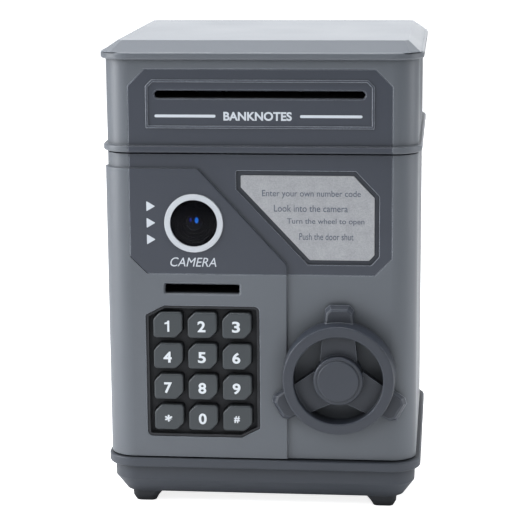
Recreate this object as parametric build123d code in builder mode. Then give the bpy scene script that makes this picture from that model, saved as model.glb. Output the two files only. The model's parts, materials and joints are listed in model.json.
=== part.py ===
from build123d import *
import os
from math import cos, radians, sin

# Toy cash machine savings bank: a cabinet with a swinging, handwheel-latched front door.
# Frame: +Z up, +X to the right of someone facing the door, front looks along -Y.
# The origin is on the ground under the middle of the bounding box. Millimetres.

os.makedirs("parts", exist_ok=True)

# ---------------------------------------------------------------- driving dimensions
body_width = 127.8        # cabinet and door, flat side to flat side
body_depth = 118.0        # front face to back face
corner_radius = 10.5      # the four upright corners
wall = 2.4                # moulded shell wall

foot_height = 4.8
tub_taper_height = 6.5    # bevelled lower part of the base
base_rim_height = 4.0
cell_radius = 7.1         # three AA cells lie across the base and set its depth
cover_thickness = 1.8     # battery cover
cell_gap = 0.3            # above and below a cell
door_height = 127.8
belt_height = 2.8         # the rib round the cabinet above the door
upper_height = 34.9       # from the belt to the lid
lid_rim_height = 3.0
lid_bevel_height = 3.7

rim_proud = 2.0           # how far the lid rim and base rim stand out
belt_proud = 1.6
raised_proud = 1.0        # the raised left part of the door
door_gap = 0.7            # running gap above, below and beside the door
seam = 0.15               # fitting gap round an inlay
belt_round = 0.7          # softened edges of the belt and the base rim

# ---------------------------------------------------------------- levels and depths
tub_bottom = foot_height
tub_knee = tub_bottom + tub_taper_height
base_top = tub_bottom + cover_thickness + 2 * cell_radius + 2 * cell_gap
rim_bottom = base_top - base_rim_height
door_bottom = base_top + door_gap
door_top = door_bottom + door_height
belt_bottom = door_top + door_gap
belt_top = belt_bottom + belt_height
upper_top = belt_top + upper_height
lid_rim_top = upper_top + lid_rim_height
lid_top = lid_rim_top + lid_bevel_height

half_width = body_width / 2
inner_half = half_width - wall

# handwheel, measured out from the front face
wheel_side = 31.5         # wheel axis to the cabinet's right side
wheel_x = half_width - wheel_side
wheel_z = door_bottom + 36.5
wheel_float = 1.8         # gap between the wheel and the door face
wheel_front = 11.0        # the ring's front face
cap_proud = 0.7           # the hub cap stands this far out of the hub
wheel_reach = wheel_front + cap_proud

total_depth = wheel_reach + body_depth + rim_proud
y_front = wheel_reach - total_depth / 2
y_mid = y_front + body_depth / 2


def deep(distance):
    """Y of a place that is this far behind the front face."""
    return y_front + distance


def front_plane(distance):
    """Upright plane this far behind the front face; sketches on it read X and Z."""
    return Plane.XZ.offset(-deep(distance))


def side_plane(x):
    """Upright plane across the width; sketches on it read Y and Z."""
    return Plane.YZ.offset(x)


def finish(builder, name):
    """Label one finished piece and write its STEP file."""
    builder.part.label = name
    export_step(builder.part, f"parts/{name}.step")


def slab(low, high, grow, edge_round=0.0):
    """Solid plate with the cabinet's plan outline, grown outwards, with softened edges."""
    with BuildPart() as plate:
        with BuildSketch(Plane.XY.offset(low)):
            with Locations((0, y_mid)):
                RectangleRounded(body_width + 2 * grow, body_depth + 2 * grow, corner_radius + grow)
        extrude(amount=high - low)
        if edge_round > 0:
            level = plate.faces().filter_by(Axis.Z)
            fillet(level.edges(), edge_round)
    return plate.part


def block(x_range, depth_range, z_range):
    """Plain box from X, depth and Z ranges, used for cutting and keeping."""
    with BuildPart() as solid:
        with BuildSketch(Plane.XY.offset(z_range[0])):
            with Locations(((x_range[0] + x_range[1]) / 2, deep((depth_range[0] + depth_range[1]) / 2))):
                Rectangle(x_range[1] - x_range[0], depth_range[1] - depth_range[0])
        extrude(amount=z_range[1] - z_range[0])
    return solid.part


def tube_x(x_range, depth, z, radius):
    """Solid rod along X."""
    with BuildPart() as rod:
        with BuildSketch(side_plane(x_range[0])):
            with Locations((deep(depth), z)):
                Circle(radius)
        extrude(amount=x_range[1] - x_range[0])
    return rod.part


def rod_y(x, z, radius, near, far):
    """Solid rod from one depth to another, square to the front face."""
    with BuildPart() as rod:
        with BuildSketch(front_plane(near)):
            with Locations((x, z)):
                Circle(radius)
        extrude(amount=-(far - near))
    return rod.part


def rod_z(x, depth, radius, low, high):
    """Upright solid rod."""
    with BuildPart() as rod:
        with BuildSketch(Plane.XY.offset(low)):
            with Locations((x, deep(depth))):
                Circle(radius)
        extrude(amount=high - low)
    return rod.part


# ---------------------------------------------------------------- base tub with rim
tub_inset = 0.5           # the tub stands in from the cabinet's sides
taper_inset = 5.0         # and its bottom edge further in
flange_side = 6.0         # ledge inside the rim
flange_front = 16.0
hinge_radius = wall       # rounded hinge edge of the door, centred on the pins
hinge_x = -inner_half
hinge_depth = 12.0
pin_radius = 1.0
pin_play = 0.05
pin_socket = 3.2
pin_grip = 8.0            # length of each pin inside the door
screw_radius = 1.2
screw_head_radius = 2.6
screw_boss_radius = 3.8
screw_side = 13.0         # screws to the cabinet's sides
screw_x = half_width - screw_side
screw_depths = (30.0, body_depth - 24.0)
screw_ledge = 2.0         # plastic left under each screw tower's head
screw_play = 0.15

cell_length = 50.0
cell_pitch = 2 * cell_radius + 0.5
cell_count = 3
bay_wall = 1.4
bay_half_x = cell_length / 2 + 4.0
bay_half_depth = cell_count * cell_pitch / 2 + cell_gap
bay_to_back = 9.5         # bay wall to the back face
bay_depth = body_depth - bay_to_back - bay_wall - bay_half_depth
cover_gap = 0.25
tub_floor = 2.2
cell_z = tub_bottom + cover_thickness + cell_gap + cell_radius

speaker_radius = 14.0
speaker_depth = (taper_inset + wall + bay_depth - bay_half_depth - bay_wall) / 2
speaker_rim = 2.2
speaker_cone = 2.6
speaker_magnet = 3.2
sound_hole_radius = 0.9
sound_hole_pitch = 4.0

with BuildPart() as base_tub:
    with BuildSketch(Plane.XY.offset(tub_bottom)):
        with Locations((0, y_mid)):
            RectangleRounded(body_width - 2 * taper_inset, body_depth - 2 * taper_inset,
                             corner_radius - taper_inset + 1.5)
    with BuildSketch(Plane.XY.offset(tub_knee)):
        with Locations((0, y_mid)):
            RectangleRounded(body_width - 2 * tub_inset, body_depth - 2 * tub_inset,
                             corner_radius - tub_inset)
    loft(ruled=True)
    add(slab(tub_knee, rim_bottom, -tub_inset))
    add(slab(rim_bottom, base_top, rim_proud, edge_round=belt_round))
    with BuildSketch(Plane.XY.offset(tub_bottom + tub_floor)):
        with Locations((0, y_mid)):
            RectangleRounded(body_width - 2 * (taper_inset + wall), body_depth - 2 * (taper_inset + wall),
                             corner_radius - taper_inset)
    extrude(amount=rim_bottom - tub_bottom - tub_floor, mode=Mode.SUBTRACT)
    add(block((-half_width + flange_side, half_width - flange_side),
              (flange_front, body_depth - flange_side), (rim_bottom - 1, base_top + 1)), mode=Mode.SUBTRACT)
    # battery bay walls and its opening in the floor
    add(block((-bay_half_x - bay_wall, bay_half_x + bay_wall),
              (bay_depth - bay_half_depth - bay_wall, bay_depth + bay_half_depth + bay_wall),
              (tub_bottom, cell_z + cell_radius * 0.5)))
    add(block((-bay_half_x, bay_half_x), (bay_depth - bay_half_depth, bay_depth + bay_half_depth),
              (tub_bottom - 1, base_top)), mode=Mode.SUBTRACT)
    # sound holes under the speaker
    with BuildSketch(Plane.XY.offset(tub_bottom)):
        with Locations((0, deep(speaker_depth))):
            with GridLocations(sound_hole_pitch, sound_hole_pitch, 5, 5):
                Circle(sound_hole_radius)
    extrude(amount=tub_floor, mode=Mode.SUBTRACT)
    # screw towers, drilled from below
    for x in (-screw_x, screw_x):
        for depth in screw_depths:
            add(rod_z(x, depth, screw_boss_radius, tub_bottom, base_top))
    for x in (-screw_x, screw_x):
        for depth in screw_depths:
            add(rod_z(x, depth, screw_radius + screw_play, tub_bottom - 1, base_top + 1), mode=Mode.SUBTRACT)
            add(rod_z(x, depth, screw_head_radius + 2 * screw_play, tub_bottom - 1, rim_bottom - screw_ledge),
                mode=Mode.SUBTRACT)
    # socket for the door's lower hinge pin
    add(rod_z(hinge_x, hinge_depth, pin_radius + pin_play, base_top - pin_socket, base_top + 1),
        mode=Mode.SUBTRACT)
finish(base_tub, "base_tub")

groove_length, groove_width, groove_depth = 12.0, 3.0, 0.7    # finger groove in the cover
with BuildPart() as battery_cover:
    add(block((-bay_half_x + cover_gap, bay_half_x - cover_gap),
              (bay_depth - bay_half_depth + cover_gap, bay_depth + bay_half_depth - cover_gap),
              (tub_bottom, tub_bottom + cover_thickness)))
    with BuildSketch(Plane.XY.offset(tub_bottom)):
        with Locations((bay_half_x * 0.72, deep(bay_depth))):
            SlotOverall(groove_length, groove_width, rotation=90)
    extrude(amount=groove_depth, mode=Mode.SUBTRACT)
finish(battery_cover, "battery_cover")

cell_end = cell_length / 2 - 0.6      # where the flat end stops and the button starts
button_length, button_radius = 1.2, 2.6
with BuildPart() as battery_cells:
    for index in range(cell_count):
        depth = bay_depth + (index - (cell_count - 1) / 2) * cell_pitch
        flip = 1 if index % 2 == 0 else -1
        add(tube_x((-cell_end, cell_end), depth, cell_z, cell_radius))
        button = sorted((flip * cell_end, flip * (cell_end + button_length)))
        add(tube_x(button, depth, cell_z, button_radius))
finish(battery_cells, "battery_cells")

contact_gap = 0.4
contact_x = cell_end + button_length + contact_gap
contact_half = 4.5
with BuildPart() as battery_contacts:
    for side in (-1, 1):
        for index in range(cell_count):
            depth = bay_depth + (index - (cell_count - 1) / 2) * cell_pitch
            plate_x = sorted((side * contact_x, side * bay_half_x))
            add(block(plate_x, (depth - contact_half, depth + contact_half),
                      (cell_z - contact_half, cell_z + contact_half - 1.5)))
finish(battery_contacts, "battery_contacts")

with BuildPart() as speaker:
    speaker_bottom = tub_bottom + tub_floor
    cone_bottom = speaker_bottom + speaker_rim
    magnet_bottom = cone_bottom + speaker_cone
    cone_radius, magnet_radius = speaker_radius - 1.2, speaker_radius * 0.5
    add(rod_z(0, speaker_depth, speaker_radius, speaker_bottom, cone_bottom))
    with BuildSketch(Plane.XY.offset(cone_bottom)):
        with Locations((0, deep(speaker_depth))):
            Circle(cone_radius)
    with BuildSketch(Plane.XY.offset(magnet_bottom)):
        with Locations((0, deep(speaker_depth))):
            Circle(1.1 * magnet_radius)
    loft()
    add(rod_z(0, speaker_depth, magnet_radius, magnet_bottom, magnet_bottom + speaker_magnet))
finish(speaker, "speaker")

deck_thickness = 1.8
deck_play = 0.3
deck_front = hinge_depth + hinge_radius + 0.9
with BuildPart() as base_deck:
    with BuildSketch(Plane.XY.offset(base_top)):
        with Locations((0, y_mid)):
            RectangleRounded(body_width - 2 * (wall + deck_play), body_depth - 2 * (wall + deck_play),
                             corner_radius - wall)
    extrude(amount=deck_thickness)
    add(block((-half_width, half_width), (-1, deck_front), (base_top - 1, base_top + 5)), mode=Mode.SUBTRACT)
    for x in (-screw_x, screw_x):
        for depth in screw_depths:
            clear = screw_boss_radius + deck_play + 0.1
            side = x / screw_x
            add(block(sorted((x - clear * side, half_width * side)), (depth - clear, depth + clear),
                      (base_top - 1, base_top + 5)), mode=Mode.SUBTRACT)
finish(base_deck, "base_deck")

# ---------------------------------------------------------------- rubber feet
foot_length = 13.1
foot_side = 14.5
foot_center_x = half_width - foot_side
foot_front_depth = 5.0
foot_waist = 0.45 * foot_height       # height where the foot's taper changes
foot_shift = 1.0          # the tread stands this much further out than the foot's top
waist_length, waist_width = foot_length - 2.2, foot_length - 1.2
tread_length, tread_width = foot_length - 4.6, foot_length - 3.6
foot_corner, tread_corner = 3.0, 2.2
foot_centers = (foot_front_depth + foot_length / 2, body_depth - foot_front_depth - foot_length / 2)
with BuildPart() as feet:
    for side in (-1, 1):
        for depth in foot_centers:
            with BuildSketch(Plane.XY.offset(foot_height)):
                with Locations((side * foot_center_x, deep(depth))):
                    RectangleRounded(foot_length, foot_length, foot_corner)
            with BuildSketch(Plane.XY.offset(foot_waist)):
                with Locations((side * (foot_center_x + foot_shift), deep(depth))):
                    RectangleRounded(waist_length, waist_width, foot_corner)
            loft(ruled=True)
            with BuildSketch(Plane.XY.offset(foot_waist)):
                with Locations((side * (foot_center_x + foot_shift), deep(depth))):
                    RectangleRounded(waist_length, waist_width, foot_corner)
            with BuildSketch(Plane.XY):
                with Locations((side * (foot_center_x + foot_shift), deep(depth))):
                    RectangleRounded(tread_length, tread_width, tread_corner)
            loft(ruled=True)
finish(feet, "feet")

# ---------------------------------------------------------------- cabinet: sides and back
cabinet_edge = hinge_depth + hinge_radius + 0.5   # front edge of the side walls beside the door
upper_edge = hinge_depth + 4.0                    # parting line beside the upper front cover
ledge_width = 2.0
shelf_thickness = 2.0
shelf_bottom = belt_bottom + 2.4
side_inlay_front = 30.0
side_inlay_back = body_depth - 16.0
side_inlay_thickness = 1.2
side_inlay_margin = 5.0
side_inlay_chamfer = 5.0
screw_boss_height = 9.0
board_standoff = 6.0
board_boss_radius = 2.5
board_boss_inset = 4.0
board_half_x = 40.0
board_low = shelf_bottom + shelf_thickness + 3.0
board_high = upper_top - 5.0
board_thickness = 1.6
side_spans = {"lower": (base_top + side_inlay_margin, belt_bottom - side_inlay_margin),
              "upper": (belt_top + 3.0, upper_top - 3.0)}


def side_inlay_blank(side, span, grow):
    """Panel let into a side wall: a rectangle with its upper front corner cut off."""
    low, high = side_spans[span]
    with BuildPart() as panel:
        with BuildSketch(side_plane(side * (half_width - side_inlay_thickness - min(grow, 0)))):
            with BuildLine():
                Polyline((deep(side_inlay_front - grow), low - grow),
                         (deep(side_inlay_back + grow), low - grow),
                         (deep(side_inlay_back + grow), high + grow),
                         (deep(side_inlay_front + side_inlay_chamfer), high + grow),
                         (deep(side_inlay_front - grow), high - side_inlay_chamfer),
                         close=True)
            make_face()
        extrude(amount=side * (side_inlay_thickness + 1.0 if grow > 0 else side_inlay_thickness))
    return panel.part


with BuildPart() as cabinet:
    add(slab(base_top, upper_top, 0))
    add(slab(belt_bottom, belt_top, belt_proud, edge_round=belt_round))
    with BuildSketch(Plane.XY.offset(base_top - 1)):
        with Locations((0, y_mid)):
            RectangleRounded(body_width - 2 * wall, body_depth - 2 * wall, corner_radius - wall)
    extrude(amount=shelf_bottom - base_top + 1 - 2.0, mode=Mode.SUBTRACT)
    with BuildSketch(Plane.XY.offset(shelf_bottom - 2.5)):
        with Locations((0, y_mid)):
            RectangleRounded(body_width - 2 * (wall + ledge_width), body_depth - 2 * (wall + ledge_width),
                             corner_radius - wall - ledge_width)
    extrude(amount=3.0, mode=Mode.SUBTRACT)
    with BuildSketch(Plane.XY.offset(shelf_bottom)):
        with Locations((0, y_mid)):
            RectangleRounded(body_width - 2 * wall, body_depth - 2 * wall, corner_radius - wall)
    extrude(amount=upper_top - shelf_bottom + 1, mode=Mode.SUBTRACT)
    for side in (-1, 1):
        for depth in screw_depths:
            add(block(sorted((side * (screw_x - screw_boss_radius), side * (inner_half + 1))),
                      (depth - screw_boss_radius, depth + screw_boss_radius),
                      (base_top, base_top + screw_boss_height)))
            add(rod_z(side * screw_x, depth, screw_radius, base_top - 1, base_top + screw_boss_height - 2),
                mode=Mode.SUBTRACT)
            for span in side_spans:
                if depth == screw_depths[0]:
                    add(side_inlay_blank(side, span, seam), mode=Mode.SUBTRACT)
    for x in (-board_half_x + board_boss_inset, board_half_x - board_boss_inset):
        for z in (board_low + board_boss_inset, board_high - board_boss_inset):
            add(rod_y(x, z, board_boss_radius, body_depth - wall - board_standoff, body_depth - wall))
    add(block((-half_width - 5, half_width + 5), (-5, cabinet_edge), (base_top - 1, belt_bottom)),
        mode=Mode.SUBTRACT)
    add(block((-half_width - 5, half_width + 5), (-5, upper_edge), (belt_bottom - 0.1, upper_top + 1)),
        mode=Mode.SUBTRACT)
finish(cabinet, "cabinet")

for span in side_spans:
    with BuildPart() as side_inlay:
        for side in (-1, 1):
            add(side_inlay_blank(side, span, 0))
    finish(side_inlay, f"side_inlays_{span}")

screw_head_height = 1.6
with BuildPart() as base_screws:
    for x in (-screw_x, screw_x):
        for depth in screw_depths:
            head_top = rim_bottom - screw_ledge
            add(rod_z(x, depth, screw_head_radius, head_top - screw_head_height, head_top))
            add(rod_z(x, depth, screw_radius, head_top, base_top + screw_boss_height - 3.5))
finish(base_screws, "base_screws")

# ---------------------------------------------------------------- dark front inlay, in two halves
inlay_side = 10.3         # margin left of the inlay and right of it
inlay_half = half_width - inlay_side
inlay_top = upper_top - 3.9
inlay_bottom = door_bottom + 78.3
edge_soft = 0.5           # small rounding along a step's edge
inlay_chamfer = 6.9
inlay_thickness = 1.4
slot_half = inlay_half - 11.0        # banknote slot
slot_height = 3.0
slot_corner = slot_height / 2 - 0.02 # its ends are almost half circles
slot_cover_play = 0.5     # the cover's cut behind the inlay is this much larger all round
slot_lip = 0.5
slot_z = inlay_top - 10.2
outline_half = inlay_half - 7.3      # embossed line round the banknote slot
outline_top = inlay_top - 4.2
outline_bottom = inlay_top - 23.8
outline_chamfer = 2.6
outline_width = 0.9
outline_proud = 0.35


def inlay_blank(near, far, grow):
    """Eight-sided dark panel between two depths."""
    with BuildPart() as panel:
        with BuildSketch(front_plane(near)) as sketch:
            with Locations((0, (inlay_top + inlay_bottom) / 2)):
                Rectangle(2 * inlay_half, inlay_top - inlay_bottom)
            chamfer(sketch.vertices(), inlay_chamfer)
            if grow > 0:
                offset(amount=grow, kind=Kind.INTERSECTION)
        extrude(amount=-(far - near))
    return panel.part


def slot_tool(center_x, center_z, length, height, corner, near, far, lip):
    """Cutter for a slot with rounded corners and a bevelled mouth at its near end."""
    with BuildPart() as tool:
        with BuildSketch(front_plane(near)):
            with Locations((center_x, center_z)):
                RectangleRounded(length, height, corner)
        extrude(amount=-(far - near))
        with BuildSketch(front_plane(near)):
            with Locations((center_x, center_z)):
                RectangleRounded(length + 2 * lip, height + 2 * lip, corner + lip)
        with BuildSketch(front_plane(near + lip)):
            with Locations((center_x, center_z)):
                RectangleRounded(length, height, corner)
        loft(ruled=True)
    return tool.part


# ---------------------------------------------------------------- upper front cover and its inlay
with BuildPart() as upper_front:
    add(slab(belt_bottom, upper_top, 0))
    add(slab(belt_bottom, belt_top, belt_proud, edge_round=belt_round))
    add(block((-half_width - 5, half_width + 5), (upper_edge, body_depth + 5),
              (belt_bottom - 1, upper_top + 1)), mode=Mode.SUBTRACT)
    with BuildSketch(Plane.XY.offset(shelf_bottom)):
        with Locations((0, y_mid)):
            RectangleRounded(body_width - 2 * wall, body_depth - 2 * wall, corner_radius - wall)
    extrude(amount=upper_top - shelf_bottom + 1, mode=Mode.SUBTRACT)
    add(inlay_blank(-belt_proud - 1, inlay_thickness, seam), mode=Mode.SUBTRACT)
    add(slot_tool(0, slot_z, 2 * (slot_half + slot_cover_play), slot_height + 2 * slot_cover_play,
                  slot_corner, 0.5, wall + 1, 0.01), mode=Mode.SUBTRACT)
    # socket for the door's upper hinge pin
    add(rod_z(hinge_x, hinge_depth, pin_radius + pin_play, belt_bottom - 1, shelf_bottom), mode=Mode.SUBTRACT)
finish(upper_front, "upper_front")

with BuildPart() as upper_inlay:
    add(inlay_blank(0, inlay_thickness, 0))
    # the belt runs across the inlay too
    with BuildSketch(side_plane(-inlay_half)) as belt_profile:
        with Locations((deep(-belt_proud / 2 + 0.2), (belt_bottom + belt_top) / 2)):
            Rectangle(belt_proud + 0.4, belt_height)
        outer_corners = belt_profile.vertices().group_by(Axis.X)[0]
        fillet(outer_corners, belt_round)
    extrude(amount=2 * inlay_half)
    add(block((-half_width, half_width), (-5, inlay_thickness + 1), (inlay_bottom - 1, belt_bottom)),
        mode=Mode.SUBTRACT)
    # embossed line round the slot
    with BuildSketch(front_plane(0.1)) as emboss:
        with Locations((0, (outline_top + outline_bottom) / 2)):
            Rectangle(2 * outline_half, outline_top - outline_bottom)
        chamfer(emboss.vertices().group_by(Axis.Y)[-1], outline_chamfer)
        offset(amount=-outline_width, kind=Kind.INTERSECTION, mode=Mode.SUBTRACT)
    extrude(amount=outline_proud + 0.1)
    add(slot_tool(0, slot_z, 2 * slot_half, slot_height, slot_corner, 0, inlay_thickness + 1, slot_lip),
        mode=Mode.SUBTRACT)
finish(upper_inlay, "upper_inlay")

# ---------------------------------------------------------------- lid
plate_half = half_width - 4.5        # flat top plate
plate_front = 12.3
plate_back = body_depth - 5.0
plate_corner = 1.7
lid_wall = 2.0
lid_corner = 4.0
skirt_height, skirt_wall = 4.0, 1.6
with BuildPart() as lid:
    add(slab(upper_top, lid_rim_top, rim_proud, edge_round=0.8))
    with BuildSketch(Plane.XY.offset(lid_rim_top - 0.01)) as foot_outline:
        with Locations((0, y_mid)):
            Rectangle(body_width + 1.2, body_depth + 1.6)
        chamfer(foot_outline.vertices(), lid_corner)
    with BuildSketch(Plane.XY.offset(lid_top)) as top_outline:
        with Locations((0, deep((plate_front + plate_back) / 2))):
            Rectangle(2 * plate_half, plate_back - plate_front)
        chamfer(top_outline.vertices(), plate_corner)
    loft(ruled=True)
    # a hollow under the plate and a skirt that drops inside the walls
    add(block((-plate_half + lid_wall, plate_half - lid_wall),
              (plate_front + lid_wall, plate_back - lid_wall),
              (upper_top - 1, lid_top - lid_wall)), mode=Mode.SUBTRACT)
    with BuildSketch(Plane.XY.offset(upper_top - skirt_height)):
        with Locations((0, y_mid)):
            RectangleRounded(body_width - 2 * (wall + seam), body_depth - 2 * (wall + seam),
                             corner_radius - wall)
            RectangleRounded(body_width - 2 * (wall + seam + skirt_wall),
                             body_depth - 2 * (wall + seam + skirt_wall),
                             corner_radius - wall - skirt_wall, mode=Mode.SUBTRACT)
    extrude(amount=skirt_height)
finish(lid, "lid")

# ---------------------------------------------------------------- door shell
step_x = wheel_x - 21.5   # upright edge of the raised left part
step_top_x = step_x - 36.3           # where its slanted edge meets the shoulder
shoulder_z = door_bottom + 122.1
step_low_z = door_bottom + 82.5
raised_end = 8.4          # how far the raised skin wraps round the hinge corner
return_edge = cabinet_edge - 0.5     # rear edge of the door's right side
step_round = 2.5

ring_x = -half_width + 36.7          # camera ring
ring_z = door_bottom + 99.5
lens_radius = 9.7
lens_seat = 1.2           # width of the ledge that the lens cover rests on
lens_seat_depth = 0.6
ring_radius = lens_radius + 2.4

key_width, key_height = 12.2, 10.8
key_gap_x, key_gap_z = 2.12, 2.36    # bare floor between two keys
key_columns, key_rows = 3, 4
well_margin_x, well_margin_z = 3.23, 2.96
key_pitch_x, key_pitch_z = key_width + key_gap_x, key_height + key_gap_z
well_left = -half_width + 16.1
well_right = well_left + key_columns * key_pitch_x - key_gap_x + 2 * well_margin_x
well_low = door_bottom + 8.7
well_high = well_low + key_rows * key_pitch_z - key_gap_z + 2 * well_margin_z
well_cut_x, well_cut_z = 7.7, 4.1
well_round = 2.3
well_cut_round = 1.0
coin_x = (well_left + well_right) / 2
coin_z = well_high + 7.1
coin_half = 15.45
coin_height = 3.9
coin_corner, coin_lip = 0.5, 0.6
bush_radius = 5.0
shaft_radius = 3.0
shaft_play = 0.05


def raised_region(near, far):
    """Prism over the raised left part of the door: its edge runs down at a slant, then upright."""
    with BuildPart() as prism:
        with BuildSketch(front_plane(near)) as sketch:
            with BuildLine():
                Polyline((-half_width - 5, door_bottom), (step_x, door_bottom), (step_x, step_low_z),
                         (step_top_x, shoulder_z), (-half_width - 5, shoulder_z), close=True)
            make_face()
            fillet(sketch.vertices().group_by(Axis.X)[-1].group_by(Axis.Y)[-1], step_round)
            fillet(sketch.vertices().group_by(Axis.Y)[-1].sort_by(Axis.X)[-1], step_round)
        extrude(amount=-(far - near))
    return prism.part


def well_outline(near, far, grow):
    """Keypad well between two depths: two opposite corners cut off, two rounded."""
    with BuildPart() as prism:
        with BuildSketch(front_plane(near)) as sketch:
            with BuildLine():
                Polyline((well_left, well_low), (well_right - well_cut_x, well_low),
                         (well_right, well_low + well_cut_z), (well_right, well_high),
                         (well_left + well_cut_x, well_high), (well_left, well_high - well_cut_z), close=True)
            make_face()
            rounded = [sketch.vertices().sort_by_distance((well_left, well_low))[0],
                       sketch.vertices().sort_by_distance((well_right, well_high))[0]]
            cut_ends = [vertex for vertex in sketch.vertices() if vertex not in rounded]
            fillet(rounded, well_round)
            fillet([sketch.vertices().sort_by_distance(end)[0] for end in cut_ends], well_cut_round)
            if grow != 0:
                offset(amount=grow, kind=Kind.INTERSECTION)
        extrude(amount=-(far - near))
    return prism.part


with BuildPart() as raised_skin:
    add(slab(door_bottom, door_top, raised_proud))
    add(raised_region(-raised_proud - 1, raised_end), mode=Mode.INTERSECT)
    step_edges = raised_skin.edges().filter_by(
        lambda edge: abs(edge.center().Y - deep(-raised_proud)) < 0.01
        and -half_width + corner_radius < edge.center().X and edge.center().Z > door_bottom + 1)
    fillet(step_edges, edge_soft)

with BuildPart() as door_shell:
    add(slab(door_bottom, door_top, 0))
    add(raised_skin.part)
    # the left side ends at the hinge line, the right side just short of the cabinet wall
    for x_range, edge in (((-half_width - 5, 0), hinge_depth), ((0, half_width + 5), return_edge)):
        add(block(x_range, (edge, body_depth + 5), (door_bottom - 1, door_top + 1)), mode=Mode.SUBTRACT)
    with BuildSketch(Plane.XY.offset(door_bottom - 1)):
        with Locations((0, y_mid)):
            RectangleRounded(body_width - 2 * wall, body_depth - 2 * wall, corner_radius - wall)
    extrude(amount=door_height + 2, mode=Mode.SUBTRACT)
    add(rod_z(hinge_x, hinge_depth, hinge_radius, door_bottom, door_top))
    add(inlay_blank(-raised_proud - 1, inlay_thickness, seam), mode=Mode.SUBTRACT)
    add(well_outline(-raised_proud - 1, wall + 1, 0), mode=Mode.SUBTRACT)
    add(slot_tool(coin_x, coin_z, 2 * coin_half, coin_height, coin_corner, -raised_proud, wall + 1, coin_lip),
        mode=Mode.SUBTRACT)
    add(rod_y(ring_x, ring_z, lens_radius - lens_seat, 0, wall + 1), mode=Mode.SUBTRACT)
    add(rod_y(wheel_x, wheel_z, bush_radius, -1, wall + 1), mode=Mode.SUBTRACT)
    for low in (door_bottom - 1, door_top - pin_grip):
        add(rod_z(hinge_x, hinge_depth, pin_radius, low, low + pin_grip + 1), mode=Mode.SUBTRACT)
finish(door_shell, "door_shell")

pin_end_gap = 0.2
with BuildPart() as hinge_pins:
    add(rod_z(hinge_x, hinge_depth, pin_radius, base_top - pin_socket + pin_end_gap, door_bottom + pin_grip))
    add(rod_z(hinge_x, hinge_depth, pin_radius, door_top - pin_grip, shelf_bottom - pin_end_gap))
finish(hinge_pins, "hinge_pins")

# ---------------------------------------------------------------- door inlay, nameplate and camera
plate_thickness = 0.6
plate_border = 1.9
plate_pocket = 1.0
plate_low, plate_high = inlay_bottom + 6.1, inlay_bottom + 41.0
plate_left, plate_right = step_top_x + 17.5, inlay_half - 7.0


def plate_blank(near, far, grow):
    """Six-sided nameplate whose left edge runs parallel to the door's slanted step."""
    with BuildPart() as panel:
        with BuildSketch(front_plane(near)) as sketch:
            with BuildLine():
                Polyline((plate_left, plate_high), (plate_right - 8.5, plate_high),
                         (plate_right, plate_high - 9.0), (plate_right, plate_low + 2.4),
                         (plate_right - 2.2, plate_low), (plate_left + 28.1, plate_low),
                         (plate_left, plate_high - 5.0), close=True)
            make_face()
            if grow > 0:
                offset(amount=grow, kind=Kind.INTERSECTION)
            fillet(sketch.vertices(), 0.6)
        extrude(amount=-(far - near))
    return panel.part


with BuildPart() as inlay_raised:
    add(inlay_blank(-raised_proud, inlay_thickness, 0))
    add(raised_region(-raised_proud - 1, inlay_thickness + 1), mode=Mode.INTERSECT)
    slant_edges = inlay_raised.edges().filter_by(
        lambda edge: abs(edge.center().Y - deep(-raised_proud)) < 0.01
        and edge.center().X > -inlay_half + 1 and edge.center().Z > inlay_bottom + 1)
    fillet(slant_edges, edge_soft)

with BuildPart() as door_inlay:
    add(inlay_blank(0, inlay_thickness, 0))
    add(inlay_raised.part)
    add(block((-half_width, half_width), (-5, inlay_thickness + 1), (door_top, inlay_top + 1)),
        mode=Mode.SUBTRACT)
    add(plate_blank(-0.01, plate_pocket, plate_border), mode=Mode.SUBTRACT)
    add(rod_y(ring_x, ring_z, ring_radius + 0.1, -raised_proud - 1, inlay_thickness + 1), mode=Mode.SUBTRACT)
finish(door_inlay, "door_inlay")

with BuildPart() as info_plate:
    add(plate_blank(plate_pocket - plate_thickness, plate_pocket, 0))
    front_face = info_plate.faces().sort_by(Axis.Y)[0]
    fillet(front_face.edges(), 0.2)
finish(info_plate, "info_plate")

ring_proud = 0.5
with BuildPart() as lens_ring:
    add(rod_y(ring_x, ring_z, ring_radius, -raised_proud - ring_proud, inlay_thickness))
    rim_edges = lens_ring.faces().sort_by(Axis.Y)[0].edges()
    fillet(rim_edges, 0.3)
    add(rod_y(ring_x, ring_z, lens_radius, -raised_proud - ring_proud - 1, inlay_thickness - lens_seat_depth),
        mode=Mode.SUBTRACT)
    add(rod_y(ring_x, ring_z, lens_radius - lens_seat, -3, inlay_thickness + 1), mode=Mode.SUBTRACT)
finish(lens_ring, "lens_ring")

lens_round = 0.9
lens_back = inlay_thickness - lens_seat_depth
with BuildPart() as lens_window:
    add(rod_y(ring_x, ring_z, lens_radius, -raised_proud - 0.2, lens_back))
    fillet(lens_window.faces().sort_by(Axis.Y)[0].edges(), lens_round)
finish(lens_window, "lens_window")

with BuildPart() as camera_module:
    add(rod_y(ring_x, ring_z, lens_radius - 1.4, lens_back, wall))
    add(rod_y(ring_x, ring_z, lens_radius + 1.5, wall, wall + 1.4))
    add(rod_y(ring_x, ring_z, 5.5, wall + 1.4, wall + 5.0))
finish(camera_module, "camera_module")

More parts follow.
